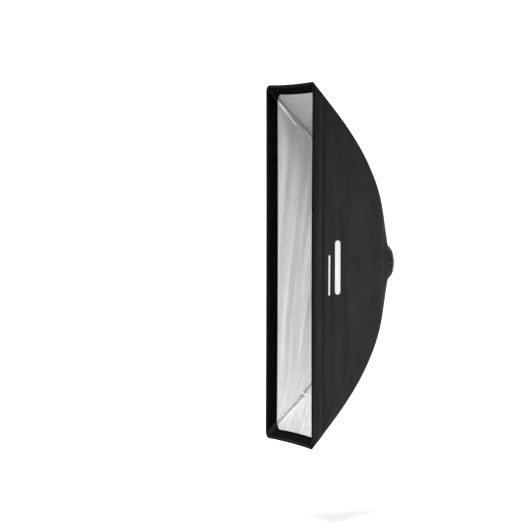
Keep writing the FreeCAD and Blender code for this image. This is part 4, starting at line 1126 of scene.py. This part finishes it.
def seam_point_in(inset, d, sx, sz):
    """The same point as the CAD's: each wall's line moved in by inset, at one depth."""
    e = 0.0005
    a, b = seam(u_at(0, d - e))[0], seam(u_at(0, d + e))[0]
    mx, mz = (b[1] - a[1]) / (b[0] - a[0]), (b[2] - a[2]) / (b[0] - a[0])
    c = (a + b) / 2
    return np.array([sx * (c[1] - inset * math.hypot(1, mx)), d - DEPTH, sz * (c[2] - inset * math.hypot(1, mz))])


for where, (sx, sz) in CORNERS.items():
    c = seam_point_in(ROD_IN, TAB_D, sx, sz)
    al = seam_point_in(ROD_IN, TAB_D + 0.0005, sx, sz) - seam_point_in(ROD_IN, TAB_D - 0.0005, sx, sz)
    al /= np.linalg.norm(al)
    ac = np.array([-sx, 0, 0], float)
    ac = ac - al * ac.dot(al)
    ac /= np.linalg.norm(ac)
    inw = np.cross(al, ac)
    if inw[2] * sz > 0:
        inw = -inw
    wall = ROD_IN - LIN_B
    low = -wall + 0.0007
    key = [(-wall + 0.0011, -0.0015), (-wall + 0.0008, 0.0012), (-0.0030, 0.0036), (0.0, 0.0042), (0.0030, 0.0036),
           (0.0062, 0.0006), (0.0090, low + 0.0012), (0.0125, low + 0.0004), (0.030, low + 0.0005), (0.055, low + 0.0004), (0.078, low + 0.0006)]
    path = spline_points(key, 46)
    width = np.linspace(-0.0065, 0.0065, 7)
    S = c + ac * path[:, 0][:, None, None] + inw * path[:, 1][:, None, None] + al * width[None, :, None]
    tn = np.gradient(path, axis=0)
    nn = np.stack([-tn[:, 1], tn[:, 0]], 1)
    nn /= np.linalg.norm(nn, axis=1, keepdims=True)
    nn[nn[:, 1] < 0] *= 1
    N3 = ac * nn[:, 0][:, None, None] + inw * nn[:, 1][:, None, None] + 0 * S
    sg = 1.0 if (N3[-5, 3] * inw).sum() > 0 else -1.0
    N3 = N3 * sg
    puff = 0.00025 * np.cos(width / 0.0065 * math.pi / 2)[None, :, None]
    st_ = closed_sheet("tie_strap_" + where, S + N3 * (0.00055 + puff), S - N3 * 0.0003, grid_uv(S), M["strap"])
    fix_normals(st_)
    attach(st_, "softbox")
    if where == "upper_right":
        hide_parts("tie_tabs")
    for tag, col in (("a", 1), ("b", 5)):
        sel = slice(2, 44)
        th = stitches("stitch_strap_%s_%s" % (where, tag), (S + N3 * 0.00065)[sel, col], N3[sel, col], M["thread_black"], pitch=0.0034, length=0.0026, radius=0.00042)
        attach(th, "softbox")

# ------------------------------------------------------------------------------------------
# rear collar and elastic
# ------------------------------------------------------------------------------------------
ya = END[0] - DEPTH
angs = np.linspace(-math.pi / 2 + 0.125, 1.5 * math.pi - 0.125, 241)
prof = [(-0.0255, 0.0762, 0.0), (-0.0225, 0.0770, 0.2), (-0.0205, 0.0776, 0.5), (-0.0185, 0.0772, 0.25), (-0.0165, 0.0771, 0.2),
        (-0.0148, 0.0777, 0.45), (-0.0130, 0.0785, 0.9), (-0.0113, 0.0790, 1.1)]
rip = value_noise(angs * 14, angs * 0, 3) * 0.6 + 0.6 * np.sin(angs * 44 + 1.5 * np.sin(angs * 3))
G = np.zeros((len(prof), len(angs), 3))
for i, (y, r, k) in enumerate(prof):
    rr = r + 0.0009 * k * rip
    G[i, :, 0], G[i, :, 1], G[i, :, 2] = rr * np.cos(angs), y + 0.0004 * k * rip, rr * np.sin(angs)
rad = G.copy()
rad[..., 1] = 0
rad /= np.linalg.norm(rad, axis=-1, keepdims=True)
col = closed_sheet("gathered_collar", G, G - rad * 0.0006, grid_uv(G), M["outer"])
fix_normals(col)
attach(col, "softbox")
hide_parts("rear_collar")
band_a = np.linspace(-math.pi / 2, 1.5 * math.pi, 240, endpoint=False)
rip2 = value_noise(band_a * 16, band_a * 0, 8) * 0.4 + np.sin(band_a * 52) * 0.5
org = np.stack([0.0781 * np.cos(band_a), -0.0172 + 0 * band_a, 0.0781 * np.sin(band_a)], -1)
e1b = np.stack([np.cos(band_a), 0 * band_a, np.sin(band_a)], -1)
e2b = np.repeat(np.array([[0, 1.0, 0]]), 240, 0)
org = org + e1b * (0.00025 * rip2)[:, None]
el = section_sweep("elastic_ring", org, e1b, e2b,
                   [(0.0, -0.0021), (0.0007, -0.0022), (0.0013, -0.0017), (0.0014, 0.0), (0.0013, 0.0017), (0.0007, 0.0022), (0.0, 0.0021), (-0.0001, 0.0)],
                   M["elastic"])
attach(el, "softbox")
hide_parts("collar_elastic")

# ------------------------------------------------------------------------------------------
# access flaps
# ------------------------------------------------------------------------------------------
HY, HZ = -0.0797, 0.2335
for label, sz, body in (("top", 1, "flap_top"), ("bottom", -1, "flap_bottom")):
    u0, u1 = u_at(2, 0.241), u_at(2, 0.1125)
    us = np.linspace(u0, u1, 44)
    xw = 0.044
    cols = lambda h: np.linspace(-xw, xw, 31)
    P, t, m = wall_points("end", sz, us, cols)
    N = normals_of(P, "end", sz)
    # rounded free corners
    run = np.concatenate([[0], np.cumsum(np.linalg.norm(np.diff(P[:, 15], axis=0), axis=1))])
    left = run[-1] - run
    R = 0.012
    k = np.clip(1 - left / R, 0, 1)
    narrow = (xw - R * (1 - np.sqrt(np.clip(1 - k * k, 0, 1)))) / xw
    P[..., 0] *= narrow[:, None]
    lift = 0.0017 + 0.0005 * smooth((run - 0.01) / 0.02)[:, None] + 0.00035 * value_noise(P[..., 0] / 0.02, run[:, None] / 0.03 + 0 * P[..., 0], 17 + sz)
    lift = lift - 0.0012 * (1 - smooth(run / 0.012))[:, None]
    outer = P + N * (lift + 0.0007)[..., None]
    inner = P + N * lift[..., None]
    fl = closed_sheet("hand_flap_" + label, outer, inner, grid_uv(P), M["outer"])
    fix_normals(fl)
    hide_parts("access_flap_" + label)
    hinge = np.array([0, HY, sz * HZ])
    mid = (P[:, 15])
    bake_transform(fl)
    # edge binding round the flap's three free sides
    edge_idx = [(i, 0) for i in range(6, 44)] + [(43, j) for j in range(1, 30)] + [(i, 30) for i in range(43, 5, -1)]
    ep = np.array([outer[i, j] * 0.5 + inner[i, j] * 0.5 for i, j in edge_idx])
    en = np.array([N[i, j] for i, j in edge_idx])
    bd = tube("flap_binding_" + label, ep, 0.0010, M["binding"], sides=8, squash=(1.0, 1.0), side_dir=en)
    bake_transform(bd)
    # hook tape under the free edge, loop tape on the wall below it
    ut = np.linspace(u_at(2, 0.1265), u_at(2, 0.1145), 6)
    colt = lambda h: np.linspace(-0.0400, 0.0400, 25)
    Pt, _, _ = wall_points("end", sz, ut, colt)
    Nt = normals_of(Pt, "end", sz)
    hk = closed_sheet("hook_strip_" + label, Pt + Nt * 0.0016, Pt + Nt * 0.0009, grid_uv(Pt), M["hook"])
    fix_normals(hk)
    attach(hk, body)
    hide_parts("flap_hook_" + label)
    lp = closed_sheet("flap_loop_" + label, Pt + Nt * 0.00085, Pt + Nt * 0.0001, grid_uv(Pt), M["loop"])
    fix_normals(lp)
    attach(lp, "softbox")
    if label == "top":
        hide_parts("flap_loop_tapes")
    # stitching: across the sewn edge on the wall, and over the hook tape
    rowi = 2
    st = stitches("stitch_flap_sewn_" + label, outer[rowi, 1:-1], N[rowi, 1:-1], M["thread_black"], pitch=0.005, length=0.0034, radius=0.0004)
    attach(st, "softbox")
    rowj = int(np.argmin(np.abs(seam(us)[:, 2] - 0.1275)))
    st = stitches("stitch_flap_hook_" + label, outer[rowj, 3:-3], N[rowj, 3:-3], M["thread_black"], pitch=0.005, length=0.0034, radius=0.0004)
    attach(st, body)

# ------------------------------------------------------------------------------------------
# camera, floor, light
# ------------------------------------------------------------------------------------------
CAM = (5.934873, -3.605713 - DEPTH, 0.377784)
YAW, PITCH, ROLL, FPX = 1.0382629, 0.0546148, 0.0015518, 1790.6426
fwd = Vector((-math.sin(YAW), math.cos(YAW), 0))
right = Vector((math.cos(YAW), math.sin(YAW), 0))
up = Vector((0, 0, 1))
fwd2 = fwd * math.cos(PITCH) - up * math.sin(PITCH)
up2 = up * math.cos(PITCH) + fwd * math.sin(PITCH)
r3 = right * math.cos(ROLL) + up2 * math.sin(ROLL)
u3 = up2 * math.cos(ROLL) - right * math.sin(ROLL)
cam_data = bpy.data.cameras.new("photo_camera")
cam = bpy.data.objects.new("photo_camera", cam_data)
bpy.context.scene.collection.objects.link(cam)
rot = Matrix((r3, u3, -fwd2)).transposed()
cam.matrix_world = Matrix.Translation(Vector(CAM)) @ rot.to_4x4()
cam_data.sensor_width = 36.0
cam_data.lens = FPX * 36.0 / 530.0
cam_data.clip_start, cam_data.clip_end = 0.1, 100.0
bpy.context.scene.camera = cam

# floor that sweeps up behind into a backdrop, all round
FLOOR = -1.02
bm_pts, bm_faces = [], []
prof_f = [(0.0, FLOOR)]
for k in range(1, 13):
    prof_f.append((9.0 * k / 12, FLOOR))
for k in range(1, 15):
    a = math.pi / 2 * k / 14
    prof_f.append((9.0 + 5.0 * math.sin(a), FLOOR + 5.0 * (1 - math.cos(a))))
prof_f.append((14.0, FLOOR + 9.0))
ns_ = 72
for r, z in prof_f:
    for j in range(ns_):
        a = 2 * math.pi * j / ns_
        bm_pts.append((r * math.cos(a), r * math.sin(a), z))
for i in range(len(prof_f) - 1):
    for j in range(ns_):
        j2 = (j + 1) % ns_
        bm_faces.append((i * ns_ + j, i * ns_ + j2, (i + 1) * ns_ + j2, (i + 1) * ns_ + j))
me = bpy.data.meshes.new("studio_floor")
me.from_pydata(bm_pts[ns_ - 1:] if False else bm_pts, [], bm_faces)
me.polygons.foreach_set("use_smooth", [True] * len(me.polygons))
floor = bpy.data.objects.new("studio_floor", me)
bpy.context.scene.collection.objects.link(floor)
fm = Mat("studio_paper")
fz = fm.noise(fm.coords(False), 3.0, 2)
fm.link(fm.ramp(fz, [(0.3, (0.93, 0.93, 0.93)), (0.7, (0.95, 0.95, 0.95))]), fm.bsdf.inputs["Base Color"])
fm.set(Roughness=0.95, Specular_IOR_Level=0.1, Emission_Color=(1, 1, 1, 1), Emission_Strength=0.04)
me.materials.append(fm.m)

world = bpy.data.worlds.new("studio")
bpy.context.scene.world = world
world.use_nodes = True
wn = world.node_tree
wn.nodes.clear()
wo = wn.nodes.new("ShaderNodeOutputWorld")
wb = wn.nodes.new("ShaderNodeBackground")
wb.inputs[0].default_value = (1, 1, 1, 1)
wb.inputs[1].default_value = 0.26
wn.links.new(wb.outputs[0], wo.inputs[0])


def area(name, loc, target, size, power, color=(1, 1, 1), size_y=None, spread=180):
    ld = bpy.data.lights.new(name, "AREA")
    ld.shape = "RECTANGLE"
    ld.size, ld.size_y = size, size_y or size
    ld.energy = power
    ld.color = color
    ld.spread = math.radians(spread)
    lo = bpy.data.objects.new(name, ld)
    bpy.context.scene.collection.objects.link(lo)
    lo.location = loc
    lo.rotation_mode = "QUATERNION"
    lo.rotation_quaternion = (Vector(target) - Vector(loc)).to_track_quat("-Z", "Y")
    return lo


area("key_above", (0.7, -2.2, 5.2), (0, -0.35, -0.6), 2.6, 105, spread=55)
area("side_back", (4.0, 4.6, -0.4), (0, -0.1, -0.1), 1.6, 90)
area("backdrop_light", (-5.5, 3.6, 6.5), (-5.9, 3.8, -1.0), 9.0, 950)

scene = bpy.context.scene
scene.view_settings.view_transform = "Standard"
scene.view_settings.look = "None"
scene.view_settings.exposure = 0.0
scene.view_settings.gamma = 1.0
